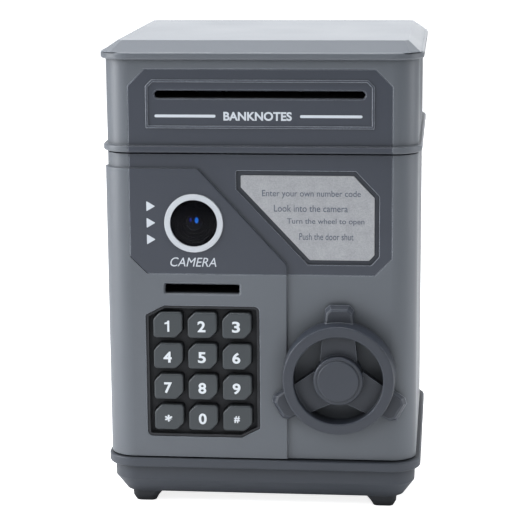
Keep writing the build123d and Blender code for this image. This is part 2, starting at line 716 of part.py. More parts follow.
# ---------------------------------------------------------------- keypad
key_center_x = coin_x
key_center_z = (well_low + well_high) / 2 + 0.3
key_proud = 1.2           # beyond the raised face
key_travel = 1.2
key_play = 0.25
key_cut = 3.0
key_round = 1.5
key_cut_round = 2.2       # softened ends of each cut corner
key_soft = 0.7            # softened edge of a key's face
tray_face = raised_proud + 0.2      # depth of the black floor between the keys
tray_floor = 1.2
tray_wall = 1.0
tray_recess = 0.3         # the tray's wall stops short of the door's face
key_flange = 0.8
key_lip = 0.55
mat_gap = key_travel + 0.3
key_names = (("1", "2", "3"), ("4", "5", "6"), ("7", "8", "9"), ("star", "0", "hash"))
key_front = -raised_proud - key_proud
flange_near = tray_face + tray_floor + 0.3
flange_far = flange_near + key_flange


def key_outline(x, z, near, far, grow, soften):
    """One key-shaped prism: top left and bottom right corners cut, the others rounded."""
    with BuildPart() as prism:
        with BuildSketch(front_plane(near)) as sketch:
            with Locations((x, z)):
                Rectangle(key_width + 2 * grow, key_height + 2 * grow)
            corner_x, corner_z = key_width / 2 + grow, key_height / 2 + grow
            cut = [sketch.vertices().sort_by_distance((x - corner_x, z + corner_z))[0],
                   sketch.vertices().sort_by_distance((x + corner_x, z - corner_z))[0]]
            chamfer(cut, key_cut)
            rounded = [sketch.vertices().sort_by_distance((x + corner_x, z + corner_z))[0],
                       sketch.vertices().sort_by_distance((x - corner_x, z - corner_z))[0]]
            fillet(rounded, key_round)
            cut_ends = [vertex for vertex in sketch.vertices()
                        if abs(abs(vertex.X - x) - corner_x) + abs(abs(vertex.Y - z) - corner_z)
                        < key_cut + 0.01 and (vertex.X - x) * (vertex.Y - z) < 0]
            fillet(cut_ends, key_cut_round)
        extrude(amount=-(far - near))
        if soften > 0:
            fillet(prism.faces().sort_by(Axis.Y)[0].edges(), soften)
    return prism.part


def key_place(row, column):
    """Centre of a key in X and Z."""
    return (key_center_x + (column - (key_columns - 1) / 2) * key_pitch_x,
            key_center_z + ((key_rows - 1) / 2 - row) * key_pitch_z)


with BuildPart() as keypad_tray:
    add(well_outline(-raised_proud + tray_recess, tray_face + tray_floor, -seam))
    add(well_outline(-raised_proud - 1, tray_face, -seam - tray_wall), mode=Mode.SUBTRACT)
    for row in range(key_rows):
        for column in range(key_columns):
            x, z = key_place(row, column)
            add(key_outline(x, z, tray_face - 1, tray_face + tray_floor + 1, key_play, 0), mode=Mode.SUBTRACT)
finish(keypad_tray, "keypad_tray")

for row in range(key_rows):
    for column in range(key_columns):
        x, z = key_place(row, column)
        with BuildPart() as key:
            add(key_outline(x, z, key_front, flange_near, 0, key_soft))
            add(key_outline(x, z, flange_near, flange_far, key_lip, 0))
        finish(key, f"key_{key_names[row][column]}")

mat_near = flange_far + mat_gap
mat_thickness = 0.8
pad_radius, pad_proud = 2.6, 0.2
with BuildPart() as key_mat:
    add(block((well_left - 1, well_right + 1), (mat_near, mat_near + mat_thickness),
              (well_low - 1, well_high + 1)))
    for row in range(key_rows):
        for column in range(key_columns):
            x, z = key_place(row, column)
            add(rod_y(x, z, pad_radius, mat_near - pad_proud, mat_near + 0.1))
finish(key_mat, "key_mat")

board_near = mat_near + mat_thickness
chip_half = 6.0
with BuildPart() as key_board:
    add(block((well_left - 2, well_right + 2), (board_near, board_near + board_thickness),
              (well_low - 2, well_high + 2)))
    add(block((key_center_x - chip_half, key_center_x + chip_half),
              (board_near + board_thickness, board_near + board_thickness + 1.0),
              (key_center_z - chip_half, key_center_z + chip_half)))
finish(key_board, "key_board")

# ---------------------------------------------------------------- door liner and coin chute
liner_half = inner_half - 3.6
liner_near, liner_far = wall, 11.0
liner_wall = 1.4
liner_low, liner_high = door_bottom + 4.0, door_top - 3.5
chute_wall = 1.2
chute_half = coin_half + 1.4
chute_opening = coin_height + 2.4
chute_end = liner_far + 5.0

with BuildPart() as door_liner:
    add(slab(liner_low, liner_high, -wall))
    add(block((-liner_half, liner_half), (liner_near, liner_far), (liner_low, liner_high)),
        mode=Mode.INTERSECT)
    add(block((-liner_half + liner_wall, liner_half - liner_wall), (0, liner_far - liner_wall),
              (liner_low + liner_wall, liner_high - liner_wall)), mode=Mode.SUBTRACT)
    add(block((coin_x - chute_half - chute_wall, coin_x + chute_half + chute_wall),
              (liner_near, liner_far + 1),
              (coin_z - chute_opening / 2 - chute_wall, coin_z + chute_opening / 2 + chute_wall)),
        mode=Mode.SUBTRACT)
    add(rod_y(wheel_x, wheel_z, shaft_radius + 0.5, liner_near, liner_far + 1), mode=Mode.SUBTRACT)
finish(door_liner, "door_liner")

with BuildPart() as coin_chute:
    add(block((coin_x - chute_half - chute_wall, coin_x + chute_half + chute_wall), (wall, chute_end),
              (coin_z - chute_opening / 2 - chute_wall, coin_z + chute_opening / 2 + chute_wall)))
    add(block((coin_x - chute_half, coin_x + chute_half), (wall - 1, chute_end + 1),
              (coin_z - chute_opening / 2, coin_z + chute_opening / 2)), mode=Mode.SUBTRACT)
finish(coin_chute, "coin_chute")

# ---------------------------------------------------------------- handwheel, shaft and latch
ring_outer = 22.7
ring_outer_back = 23.3
ring_inner = 18.3
hub_radius = 10.1
cap_radius = 8.5
spoke_front = 7.2
spoke_back = 2.6
spoke_width_hub, spoke_width_rim = 15.2, 13.0
lug_front = 4.8
lug_reach = 28.3         # of the front face; the back reaches lug_flare further
lug_flare, lug_widening = 1.5, 0.8
lug_width_root, lug_width_tip = 11.4, 10.2
lug_cut = 1.9


def wheel_arm(angle, near_points, near, far_points, far, soften):
    """Solid between two outlines on the wheel: points are (along the arm, across it)."""
    along = (cos(radians(angle)), sin(radians(angle)))
    across = (-along[1], along[0])
    with BuildPart() as arm:
        for depth, points in ((near, near_points), (far, far_points)):
            placed = [(wheel_x + u * along[0] + v * across[0], wheel_z + u * along[1] + v * across[1])
                      for u, v in points]
            with BuildSketch(front_plane(depth)):
                with BuildLine():
                    Polyline(*placed, close=True)
                make_face()
        loft(ruled=True)
        if soften > 0:
            chamfer(arm.faces().sort_by(Axis.Y)[0].edges(), soften)
    return arm.part


spoke_root, spoke_end = hub_radius - 3, ring_inner + 1.5       # both reach into solid material
spoke_points = ((spoke_root, -spoke_width_hub / 2), (spoke_end, -spoke_width_rim / 2),
                (spoke_end, spoke_width_rim / 2), (spoke_root, spoke_width_hub / 2))
spoke_angles = (90, 210, 330)


def lug_outline(reach, widening):
    """Outline of a lug with cut corners, as points (along the arm, across it)."""
    root, tip = lug_width_root / 2 + widening, lug_width_tip / 2 + widening
    return ((ring_inner + 2, -root), (reach - lug_cut, -tip), (reach, -tip + lug_cut),
            (reach, tip - lug_cut), (reach - lug_cut, tip), (ring_inner + 2, root))



cap_plug_radius = cap_radius - 1.5
cap_plug_end = -wheel_front + 1.2

with BuildPart() as wheel_rim:
    with BuildSketch(front_plane(-wheel_front)):
        with Locations((wheel_x, wheel_z)):
            Circle(ring_outer)
    with BuildSketch(front_plane(-wheel_float)):
        with Locations((wheel_x, wheel_z)):
            Circle(ring_outer_back)
    loft()
    add(rod_y(wheel_x, wheel_z, ring_inner, -wheel_front - 1, 0), mode=Mode.SUBTRACT)
    fillet(wheel_rim.faces().sort_by(Axis.Y)[0].edges(), 0.6)

with BuildPart() as wheel_hub:
    add(rod_y(wheel_x, wheel_z, hub_radius, -wheel_front, -wheel_float))
    fillet(wheel_hub.faces().sort_by(Axis.Y)[0].edges(), 0.7)

with BuildPart() as handwheel:
    add(wheel_rim.part)
    for angle in spoke_angles:
        add(wheel_arm(angle, spoke_points, -spoke_front, spoke_points, -spoke_back, 0))
        add(wheel_arm(angle, lug_outline(lug_reach, 0), -lug_front,
                      lug_outline(lug_reach + lug_flare, lug_widening), -wheel_float, 0.5))
    add(rod_y(wheel_x, wheel_z, ring_inner, -wheel_front - 1, -spoke_front), mode=Mode.SUBTRACT)
    add(wheel_hub.part)
    add(rod_y(wheel_x, wheel_z, cap_plug_radius, -wheel_front - 1, cap_plug_end), mode=Mode.SUBTRACT)
    add(rod_y(wheel_x, wheel_z, shaft_radius, -wheel_front, 0), mode=Mode.SUBTRACT)
finish(handwheel, "handwheel")

with BuildPart() as hub_cap:
    add(rod_y(wheel_x, wheel_z, cap_radius, -wheel_reach, -wheel_front))
    fillet(hub_cap.faces().sort_by(Axis.Y)[0].edges(), 0.5)
    add(rod_y(wheel_x, wheel_z, cap_plug_radius, -wheel_front, cap_plug_end))
finish(hub_cap, "hub_cap")

arm_near, arm_far = 15.2, 17.4
disc_near, disc_far = 5.4, 7.4
shaft_end = arm_far + 0.8
with BuildPart() as wheel_shaft:
    add(rod_y(wheel_x, wheel_z, shaft_radius, cap_plug_end, shaft_end))
finish(wheel_shaft, "wheel_shaft")

with BuildPart() as shaft_bush:
    add(rod_y(wheel_x, wheel_z, bush_radius, 0, wall))
    add(rod_y(wheel_x, wheel_z, bush_radius + 1.8, wall, wall + 2.2))
    add(rod_y(wheel_x, wheel_z, shaft_radius + shaft_play, -1, wall + 3), mode=Mode.SUBTRACT)
finish(shaft_bush, "shaft_bush")

# notched disc: the solenoid's plunger drops into one notch unlocked and the other locked
disc_radius = 9.0
plunger_radius = 1.5
notch_half = plunger_radius + 0.5
notch_floor = disc_radius - 3.2
with BuildPart() as lock_disc:
    add(rod_y(wheel_x, wheel_z, disc_radius, disc_near, disc_far))
    add(block((wheel_x - notch_half, wheel_x + notch_half), (disc_near - 1, disc_far + 1),
              (wheel_z + notch_floor, wheel_z + disc_radius + 1)), mode=Mode.SUBTRACT)
    add(block((wheel_x + notch_floor, wheel_x + disc_radius + 1), (disc_near - 1, disc_far + 1),
              (wheel_z - notch_half, wheel_z + notch_half)), mode=Mode.SUBTRACT)
    add(rod_y(wheel_x, wheel_z, shaft_radius, disc_near - 1, disc_far + 1), mode=Mode.SUBTRACT)
finish(lock_disc, "lock_disc")

latch_reach = 26.0
latch_width = 7.0
arm_hub_radius = 5.5
with BuildPart() as latch_arm:
    add(rod_y(wheel_x, wheel_z, arm_hub_radius, arm_near, arm_far))
    add(block((wheel_x - latch_width / 2, wheel_x + latch_width / 2), (arm_near, arm_far),
              (wheel_z - latch_reach, wheel_z)))
    add(rod_y(wheel_x, wheel_z, shaft_radius, arm_near - 1, arm_far + 1), mode=Mode.SUBTRACT)
finish(latch_arm, "latch_arm")

# the tongue stands off the door's side, and its foot is fixed to the cabinet wall behind it
strike_gap = 0.6          # to the latch arm
strike_side_gap = 0.4     # to the door's side
strike_thickness = 1.6
strike_hold = 4.5         # overlap with the latch arm
strike_far = arm_near - strike_gap
strike_near = strike_far - strike_thickness
strike_heights = (wheel_z - 8.0, wheel_z + 8.0)
tongue_x = inner_half - strike_side_gap
with BuildPart() as strike_plate:
    add(block((wheel_x + latch_reach - strike_hold, tongue_x), (strike_near, strike_far), strike_heights))
    add(block((tongue_x - strike_thickness, tongue_x), (strike_near, cabinet_edge + 2), strike_heights))
    add(block((tongue_x - strike_thickness, inner_half), (cabinet_edge + 0.4, cabinet_edge + 16),
              strike_heights))
finish(strike_plate, "strike_plate")

solenoid_low = wheel_z + disc_radius + 5.0
solenoid_height = 17.0
solenoid_half = 6.0
plunger_play = 0.06
plunger_depth = (disc_near + disc_far) / 2
with BuildPart() as lock_solenoid:
    add(block((wheel_x - solenoid_half, wheel_x + solenoid_half), (wall, liner_far - liner_wall),
              (solenoid_low, solenoid_low + solenoid_height)))
    add(rod_z(wheel_x, plunger_depth, plunger_radius + plunger_play, solenoid_low - 1,
              solenoid_low + solenoid_height - 2), mode=Mode.SUBTRACT)
finish(lock_solenoid, "lock_solenoid")

plunger_tip = wheel_z + disc_radius + 0.5
with BuildPart() as solenoid_plunger:
    add(rod_z(wheel_x, plunger_depth, plunger_radius, plunger_tip, solenoid_low + solenoid_height - 5))
finish(solenoid_plunger, "solenoid_plunger")

# ---------------------------------------------------------------- note shelf and feeder
shelf_top = shelf_bottom + shelf_thickness
drop_half = slot_half + 3.4
drop_front, drop_back = 46.0, body_depth - 12.0
with BuildPart() as note_shelf:
    with BuildSketch(Plane.XY.offset(shelf_bottom)):
        with Locations((0, y_mid)):
            RectangleRounded(body_width - 2 * (wall + deck_play), body_depth - 2 * (wall + deck_play),
                             corner_radius - wall)
    extrude(amount=shelf_thickness)
    add(block((-drop_half, drop_half), (drop_front, drop_back), (shelf_bottom - 1, shelf_top + 1)),
        mode=Mode.SUBTRACT)
finish(note_shelf, "note_shelf")

roller_radius = 4.0
roller_gap = 0.15         # each roller stands this far from the note's path
roller_x = 22.0
roller_width = 10.0
roller_depth = 20.0
axle_radius = 1.5
axle_play = 0.05
bracket_x = slot_half + 2.4
bracket_thickness = 2.0
drive_z = slot_z - roller_radius - roller_gap
pinch_z = slot_z + roller_radius + roller_gap
gear_module = 0.6
gear_teeth, pinion_teeth = 24, 12
gear_gap = 0.6            # between the bracket and the gear beside it
gear_low_x = bracket_x + bracket_thickness + gear_gap
gear_width = 3.5
mesh_angle = -20.0        # the motor sits behind the driven roller and a little lower
mesh_distance = gear_module * (gear_teeth + pinion_teeth) / 2 + 0.1
motor_depth = roller_depth + mesh_distance * cos(radians(mesh_angle))
motor_z = drive_z + mesh_distance * sin(radians(mesh_angle))
motor_radius = 5.0
motor_length = 24.0
motor_shaft_radius = 1.0
motor_nose_radius = 2.0


def spur_gear(x_low, depth, z, teeth, turn, bore):
    """Spur gear with straight-sided teeth, thinned for backlash, turned by an angle in degrees."""
    pitch_radius = gear_module * teeth / 2
    root = pitch_radius - 1.15 * gear_module
    tip = pitch_radius + 0.9 * gear_module
    step = 360.0 / teeth
    with BuildPart() as gear:
        with BuildSketch(side_plane(x_low)):
            with Locations((deep(depth), z)):
                Circle(root)
            for tooth in range(teeth):
                middle = turn + tooth * step
                points = []
                for radius, share in ((root - 0.3, -0.26), (pitch_radius, -0.22), (tip, -0.10),
                                      (tip, 0.10), (pitch_radius, 0.22), (root - 0.3, 0.26)):
                    angle = radians(middle + share * step)
                    points.append((deep(depth) + radius * cos(angle), z + radius * sin(angle)))
                with BuildLine():
                    Polyline(*points, close=True)
                make_face()
            with Locations((deep(depth), z)):
                Circle(bore, mode=Mode.SUBTRACT)
        extrude(amount=gear_width)
    return gear.part


guide_half = bracket_x
guide_thickness = 0.8
guide_near, guide_far = wall + 0.6, drop_front - 2.0
guide_gap = slot_height + 0.2
with BuildPart() as note_guides:
    for low in (slot_z - guide_gap / 2 - guide_thickness, slot_z + guide_gap / 2):
        add(block((-guide_half, guide_half), (guide_near, guide_far), (low, low + guide_thickness)))
        for x in (-roller_x, roller_x):
            add(block((x - roller_width / 2 - 1.5, x + roller_width / 2 + 1.5),
                      (roller_depth - roller_radius - 1.2, roller_depth + roller_radius + 1.2),
                      (low - 1, low + guide_thickness + 1)), mode=Mode.SUBTRACT)
finish(note_guides, "note_guides")

bracket_high = pinch_z + 4.0
bracket_foot = 6.0
bracket_depths = (roller_depth - 9.0, motor_depth + 8.0)
with BuildPart() as feeder_brackets:
    for side in (-1, 1):
        inner_x = side * bracket_x
        outer_x = side * (bracket_x + bracket_thickness)
        add(block(sorted((inner_x, outer_x)), bracket_depths, (shelf_top, bracket_high)))
        add(block(sorted((inner_x, inner_x - side * bracket_foot)), bracket_depths,
                  (shelf_top, shelf_top + 1.6)))
    for z in (drive_z, pinch_z):
        add(tube_x((-half_width, half_width), roller_depth, z, axle_radius + axle_play), mode=Mode.SUBTRACT)
    add(tube_x((0, half_width), motor_depth, motor_z, motor_nose_radius), mode=Mode.SUBTRACT)
finish(feeder_brackets, "feeder_brackets")

axle_end = bracket_x + bracket_thickness + gear_gap / 2      # clear of the gear's side
gear_end = gear_low_x + gear_width + 0.5
for name, z, far_end in (("drive_axle", drive_z, gear_end), ("pinch_axle", pinch_z, axle_end)):
    with BuildPart() as axle:
        add(tube_x((-axle_end, far_end), roller_depth, z, axle_radius))
    finish(axle, name)

for name, z in (("drive_rollers", drive_z), ("pinch_rollers", pinch_z)):
    with BuildPart() as rollers:
        for x in (-roller_x, roller_x):
            add(tube_x((x - roller_width / 2, x + roller_width / 2), roller_depth, z, roller_radius))
        add(tube_x((-half_width, half_width), roller_depth, z, axle_radius), mode=Mode.SUBTRACT)
    finish(rollers, name)

with BuildPart() as drive_gear:
    add(spur_gear(gear_low_x, roller_depth, drive_z, gear_teeth, mesh_angle, axle_radius))
finish(drive_gear, "drive_gear")

# a gap of the pinion faces the tooth of the gear on the line between their centres
with BuildPart() as motor_pinion:
    add(spur_gear(gear_low_x, motor_depth, motor_z, pinion_teeth,
                  mesh_angle + 180 + 180.0 / pinion_teeth, motor_shaft_radius))
finish(motor_pinion, "motor_pinion")

with BuildPart() as motor_shaft:
    add(tube_x((bracket_x - 4.0, gear_low_x + gear_width), motor_depth, motor_z, motor_shaft_radius))
finish(motor_shaft, "motor_shaft")

boss_length, boss_radius = 1.5, 2.2       # bearing boss on the motor's closed end
with BuildPart() as feed_motor:
    add(tube_x((bracket_x - motor_length, bracket_x), motor_depth, motor_z, motor_radius))
    fillet(feed_motor.faces().sort_by(Axis.X)[0].edges(), 0.8)
    add(tube_x((bracket_x - motor_length - boss_length, bracket_x - motor_length), motor_depth, motor_z,
               boss_radius))
    add(tube_x((bracket_x - 4.5, bracket_x + 1), motor_depth, motor_z, motor_shaft_radius + shaft_play),
        mode=Mode.SUBTRACT)
finish(feed_motor, "feed_motor")

board_back = body_depth - wall - board_standoff
board_front = board_back - board_thickness
chips = ((-22, 5, 8), (2, 7, 7), (24, 4, 5))       # middle, half width and height of each chip
chip_low, chip_thickness = board_low + 6, 1.4
with BuildPart() as main_board:
    add(block((-board_half_x, board_half_x), (board_front, board_back), (board_low, board_high)))
    for x, half, tall in chips:
        add(block((x - half, x + half), (board_front - chip_thickness, board_front),
                  (chip_low, chip_low + tall)))
finish(main_board, "main_board")
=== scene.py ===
# %% [markdown]
# # A toy cash machine savings bank
#
# The bank is a moulded plastic cabinet with a keypad door, a three-spoked handwheel, a camera
# window and a banknote slot. Its engineered parts arrive as a fixed frame that is never moved.
# Here they get their finishes, and the fine pieces that a mould or a printer adds: printed
# marks, key numbers, lens glass, screws, springs and wires.

import json
import math

import bmesh
import bpy
import numpy as np
from mathutils import Matrix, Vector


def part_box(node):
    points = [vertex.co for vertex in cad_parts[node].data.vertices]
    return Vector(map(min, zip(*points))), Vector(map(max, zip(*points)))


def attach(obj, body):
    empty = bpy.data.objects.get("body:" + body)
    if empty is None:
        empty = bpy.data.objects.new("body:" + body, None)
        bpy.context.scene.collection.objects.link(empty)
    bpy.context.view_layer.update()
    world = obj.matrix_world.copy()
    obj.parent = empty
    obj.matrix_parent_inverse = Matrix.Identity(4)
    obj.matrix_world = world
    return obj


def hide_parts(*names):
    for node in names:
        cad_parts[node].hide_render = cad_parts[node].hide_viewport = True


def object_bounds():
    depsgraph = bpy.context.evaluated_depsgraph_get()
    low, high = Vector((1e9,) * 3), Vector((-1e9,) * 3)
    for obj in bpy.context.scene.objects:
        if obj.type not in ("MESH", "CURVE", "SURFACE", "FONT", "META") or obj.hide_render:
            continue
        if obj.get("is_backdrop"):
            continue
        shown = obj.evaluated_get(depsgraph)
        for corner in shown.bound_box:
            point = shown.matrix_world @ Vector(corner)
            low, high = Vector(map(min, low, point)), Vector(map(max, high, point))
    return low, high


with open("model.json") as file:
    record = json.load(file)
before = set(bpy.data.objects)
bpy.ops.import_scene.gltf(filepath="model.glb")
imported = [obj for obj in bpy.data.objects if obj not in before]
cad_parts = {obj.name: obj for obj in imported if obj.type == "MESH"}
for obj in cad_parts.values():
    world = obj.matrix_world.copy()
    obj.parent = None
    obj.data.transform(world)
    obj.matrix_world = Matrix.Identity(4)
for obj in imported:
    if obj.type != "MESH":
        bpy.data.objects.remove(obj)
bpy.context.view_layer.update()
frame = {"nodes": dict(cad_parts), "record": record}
nodes = frame["nodes"]
MM = 0.001

# %% [markdown]
# ## Camera
#
# A product photographer stands well back and uses a long lens, so that the upright edges stay
# almost parallel. The camera looks down a little and stands slightly to the right, which shows
# the lid and a sliver of the right side. Its axes are built from three angles, which is easier
# to read than a rotation copied from the viewport.

# %% Set the camera
CAMERA_PLACE = np.array((76.4, -820.0, 266.3)) * MM
CAMERA_TURN, CAMERA_DIP, CAMERA_ROLL = np.radians((5.712, 11.735, -0.443))
SENSOR_WIDTH = 36.0
LENS_LENGTH = 133.05

look = np.array((-math.sin(CAMERA_TURN) * math.cos(CAMERA_DIP),
                 math.cos(CAMERA_TURN) * math.cos(CAMERA_DIP), -math.sin(CAMERA_DIP)))
level = np.array((math.cos(CAMERA_TURN), math.sin(CAMERA_TURN), 0.0))
above = np.cross(level, look)
right = math.cos(CAMERA_ROLL) * level + math.sin(CAMERA_ROLL) * above
up = math.cos(CAMERA_ROLL) * above - math.sin(CAMERA_ROLL) * level

camera_data = bpy.data.cameras.new("camera")
camera_data.sensor_width = SENSOR_WIDTH
camera_data.lens = LENS_LENGTH
camera_data.clip_start, camera_data.clip_end = 0.05, 20.0
camera = bpy.data.objects.new("camera", camera_data)
bpy.context.scene.collection.objects.link(camera)
axes = np.eye(4)
axes[:3, 0], axes[:3, 1], axes[:3, 2], axes[:3, 3] = right, up, -look, CAMERA_PLACE
camera.matrix_world = Matrix(axes.tolist())
bpy.context.scene.camera = camera
print("camera:", camera_data.lens, "mm lens,", round(float(-CAMERA_PLACE[1]), 2), "m in front")

# %% [markdown]
# ## Light and floor
#
# Small grey toys are shot in a white tent. Soft panels on the left graze the front, so that it
# darkens to the right, and model the rounded corner. A weaker one on the right draws the bright
# line down the far edge. The lid is seen at a flat angle, where it mirrors what stands behind
# it, so a panel behind the toy turns it pale. The tent itself is the world, which fills the
# shadows. The picture is developed without a film curve, so that plain white stays white.

# %% Place the panels
# where each panel stands, what it faces, its width and height in metres, and its power in watts
PANELS = {
    "left_panel": ((-1.0, -0.25, 0.30), (0.0, 0.0, 0.10), (0.5, 0.9), 8.7),
    "left_near_panel": ((-0.50, -0.22, 0.30), (0.0, -0.05, 0.12), (0.25, 0.5), 1.3),
    "left_high_panel": ((-0.80, -0.55, 0.85), (0.0, 0.0, 0.12), (0.5, 0.5), 1.5),
    "right_panel": ((0.95, 0.05, 0.35), (0.0, 0.0, 0.10), (0.5, 0.8), 3.6),
    "top_panel": ((0.0, 0.10, 1.10), (0.0, 0.0, 0.19), (0.9, 0.9), 11.6),
    "top_near_panel": ((-0.15, 0.0, 0.75), (0.0, 0.0, 0.19), (0.5, 0.5), 2.4),
    "front_panel": ((0.2, -1.2, 1.0), (0.0, 0.0, 0.15), (0.6, 0.4), 2.5),
    "back_panel": ((0.0, 1.2, 0.45), (0.0, 0.0, 0.19), (1.8, 0.6), 7.6),
}
PANEL_TINT = (0.965, 0.98, 1.0)
STRAIGHT_DOWN = 0.99


def aimed(place, aim):
    """Rotation that turns a panel's -Z from its place to its aim, with its X kept level."""
    back = (place - aim) / np.linalg.norm(place - aim)
    side = np.array((1.0, 0.0, 0.0))
    if abs(back[2]) < STRAIGHT_DOWN:
        side = np.cross((0.0, 0.0, 1.0), back)
        side = side / np.linalg.norm(side)
    return Matrix(np.column_stack((side, np.cross(back, side), back)).tolist()).to_quaternion()


for panel_name, (place, aim, size, power) in PANELS.items():
    light = bpy.data.lights.new(panel_name, "AREA")
    light.shape = "RECTANGLE"
    light.size, light.size_y = size
    light.energy = power
    light.color = PANEL_TINT
    lamp = bpy.data.objects.new(panel_name, light)
    lamp.location = place
    lamp.rotation_mode = "QUATERNION"
    lamp.rotation_quaternion = aimed(np.array(place), np.array(aim))
    lamp.visible_camera = False
    bpy.context.scene.collection.objects.link(lamp)
print("panels:", len(PANELS), "with", round(sum(panel[3] for panel in PANELS.values()), 1), "watts")

# %% Set the tent
TENT_LIGHT = 0.36
TENT_TINT = (0.90, 0.95, 1.0, 1.0)
WHITE = (1.0, 1.0, 1.0, 1.0)

world = bpy.data.worlds.new("tent")
world.use_nodes = True
bpy.context.scene.world = world
world_nodes, world_links = world.node_tree.nodes, world.node_tree.links
world_nodes.clear()
tent_out = world_nodes.new("ShaderNodeOutputWorld")
tent_mix = world_nodes.new("ShaderNodeMixShader")
tent_path = world_nodes.new("ShaderNodeLightPath")
tent_fill = world_nodes.new("ShaderNodeBackground")
tent_seen = world_nodes.new("ShaderNodeBackground")
tent_fill.inputs["Color"].default_value = TENT_TINT
tent_fill.inputs["Strength"].default_value = TENT_LIGHT
tent_seen.inputs["Color"].default_value = WHITE
world_links.new(tent_path.outputs["Is Camera Ray"], tent_mix.inputs["Fac"])
world_links.new(tent_fill.outputs["Background"], tent_mix.inputs[1])
world_links.new(tent_seen.outputs["Background"], tent_mix.inputs[2])
world_links.new(tent_mix.outputs["Shader"], tent_out.inputs["Surface"])

bpy.context.scene.view_settings.view_transform = "Standard"
bpy.context.scene.view_settings.look = "None"
print("tent: fills with", TENT_LIGHT, "and is seen as plain white")

# %% [markdown]
# ## Shared shader groups
#
# Every moulding here was made in a spark-eroded mould, which leaves a fine grain. One group
# makes that grain and the slow unevenness of colour and gloss that real plastic has. A second
# group finds the corners: the rounding there is finer than the engineered mesh holds, so the
# Bevel node turns the normals, and where they turn most a painted highlight makes the colour a
# little paler. The same group paints shade into narrow hollows, where little light gets in, by
# darkening their colour.
# A third draws brushed metal. They put out only colours, values and normals, and each material
# keeps its own shader.


# %% Helpers for node trees
def new_group(name, inputs, outputs):
    """Empty shader group with named inputs (type, name, value) and outputs (type, name)."""
    tree = bpy.data.node_groups.new(name, "ShaderNodeTree")
    for kind, label, value in inputs:
        socket = tree.interface.new_socket(label, in_out="INPUT", socket_type=kind)
        socket.default_value = value
    for kind, label in outputs:
        tree.interface.new_socket(label, in_out="OUTPUT", socket_type=kind)
    return tree, tree.nodes.new("NodeGroupInput"), tree.nodes.new("NodeGroupOutput")


def feed(tree, node, **values):
    """Values or links on a node's sockets: _2 is its third input, Base_Color is Base Color."""
    for label, value in values.items():
        key = int(label[1:]) if label[0] == "_" else label.replace("_", " ")
        if isinstance(value, bpy.types.NodeSocket):
            tree.links.new(value, node.inputs[key])
        else:
            node.inputs[key].default_value = value
    return node


def add_node(tree, kind, settings=None, **values):
    """Node of a kind, with its settings, and with values or links on its sockets."""
    node = tree.nodes.new(kind)
    for key, value in (settings or {}).items():
        setattr(node, key, value)
    return feed(tree, node, **values)


def object_place(tree):
    """Output of the place on the object, in metres."""
    return add_node(tree, "ShaderNodeTexCoord").outputs["Object"]


def math_node(tree, operation, first, second=0.0, clamp=False):
    """Output of a Math node; a value may be a number or a socket."""
    settings = {"operation": operation, "use_clamp": clamp}
    return add_node(tree, "ShaderNodeMath", settings, _0=first, _1=second).outputs["Value"]


def blend_colours(tree, amount, first, second):
    """Output of a colour Mix node."""
    node = add_node(tree, "ShaderNodeMix", {"data_type": "RGBA"}, _0=amount, _6=first, _7=second)
    return node.outputs[2]


def scale_colour(tree, colour, factor):
    """Output of a colour times a number."""
    node = add_node(tree, "ShaderNodeVectorMath", {"operation": "SCALE"}, _0=colour, Scale=factor)
    return node.outputs["Vector"]


# %% Group for moulded grain
FLOAT, COLOUR, VECTOR = "NodeSocketFloat", "NodeSocketColor", "NodeSocketVector"
MIDDLE_GREY = (0.2, 0.2, 0.2, 1.0)
grain, given, out = new_group(
    "moulded_grain",
    ((COLOUR, "Colour", MIDDLE_GREY), (FLOAT, "Unevenness", 0.06), (FLOAT, "Roughness", 0.5),
     (FLOAT, "Grain per metre", 2600.0), (FLOAT, "Grain Height", 0.5)),
    ((COLOUR, "Colour"), (FLOAT, "Roughness"), (FLOAT, "Height")))
where = object_place(grain)
density = given.outputs["Grain per metre"]
slow = add_node(grain, "ShaderNodeTexNoise", Vector=where, Scale=22.0, Detail=3.0, Roughness=0.55)
fine = add_node(grain, "ShaderNodeTexNoise", Vector=where, Scale=density, Detail=2.0, Roughness=0.6)
pits = add_node(grain, "ShaderNodeTexVoronoi", {"feature": "SMOOTH_F1"}, Vector=where, Scale=density,
                Smoothness=0.6)
drift = math_node(grain, "MULTIPLY", math_node(grain, "SUBTRACT", slow.outputs["Fac"], 0.5), 1.6)
speck = math_node(grain, "MULTIPLY", math_node(grain, "SUBTRACT", fine.outputs["Fac"], 0.5), 0.9)
both = math_node(grain, "ADD", drift, speck)
uneven = math_node(grain, "MULTIPLY", both, given.outputs["Unevenness"])
shade = scale_colour(grain, given.outputs["Colour"], math_node(grain, "ADD", 1.0, uneven))
gloss = math_node(grain, "ADD", 1.0, math_node(grain, "MULTIPLY", both, 0.16))
rough = math_node(grain, "MULTIPLY", given.outputs["Roughness"], gloss, clamp=True)
pit = math_node(grain, "MULTIPLY", pits.outputs["Distance"], 0.7)
relief = math_node(grain, "ADD", fine.outputs["Fac"], pit)
height = math_node(grain, "MULTIPLY", given.outputs["Grain Height"], relief)
feed(grain, out, Colour=shade, Roughness=rough, Height=height)
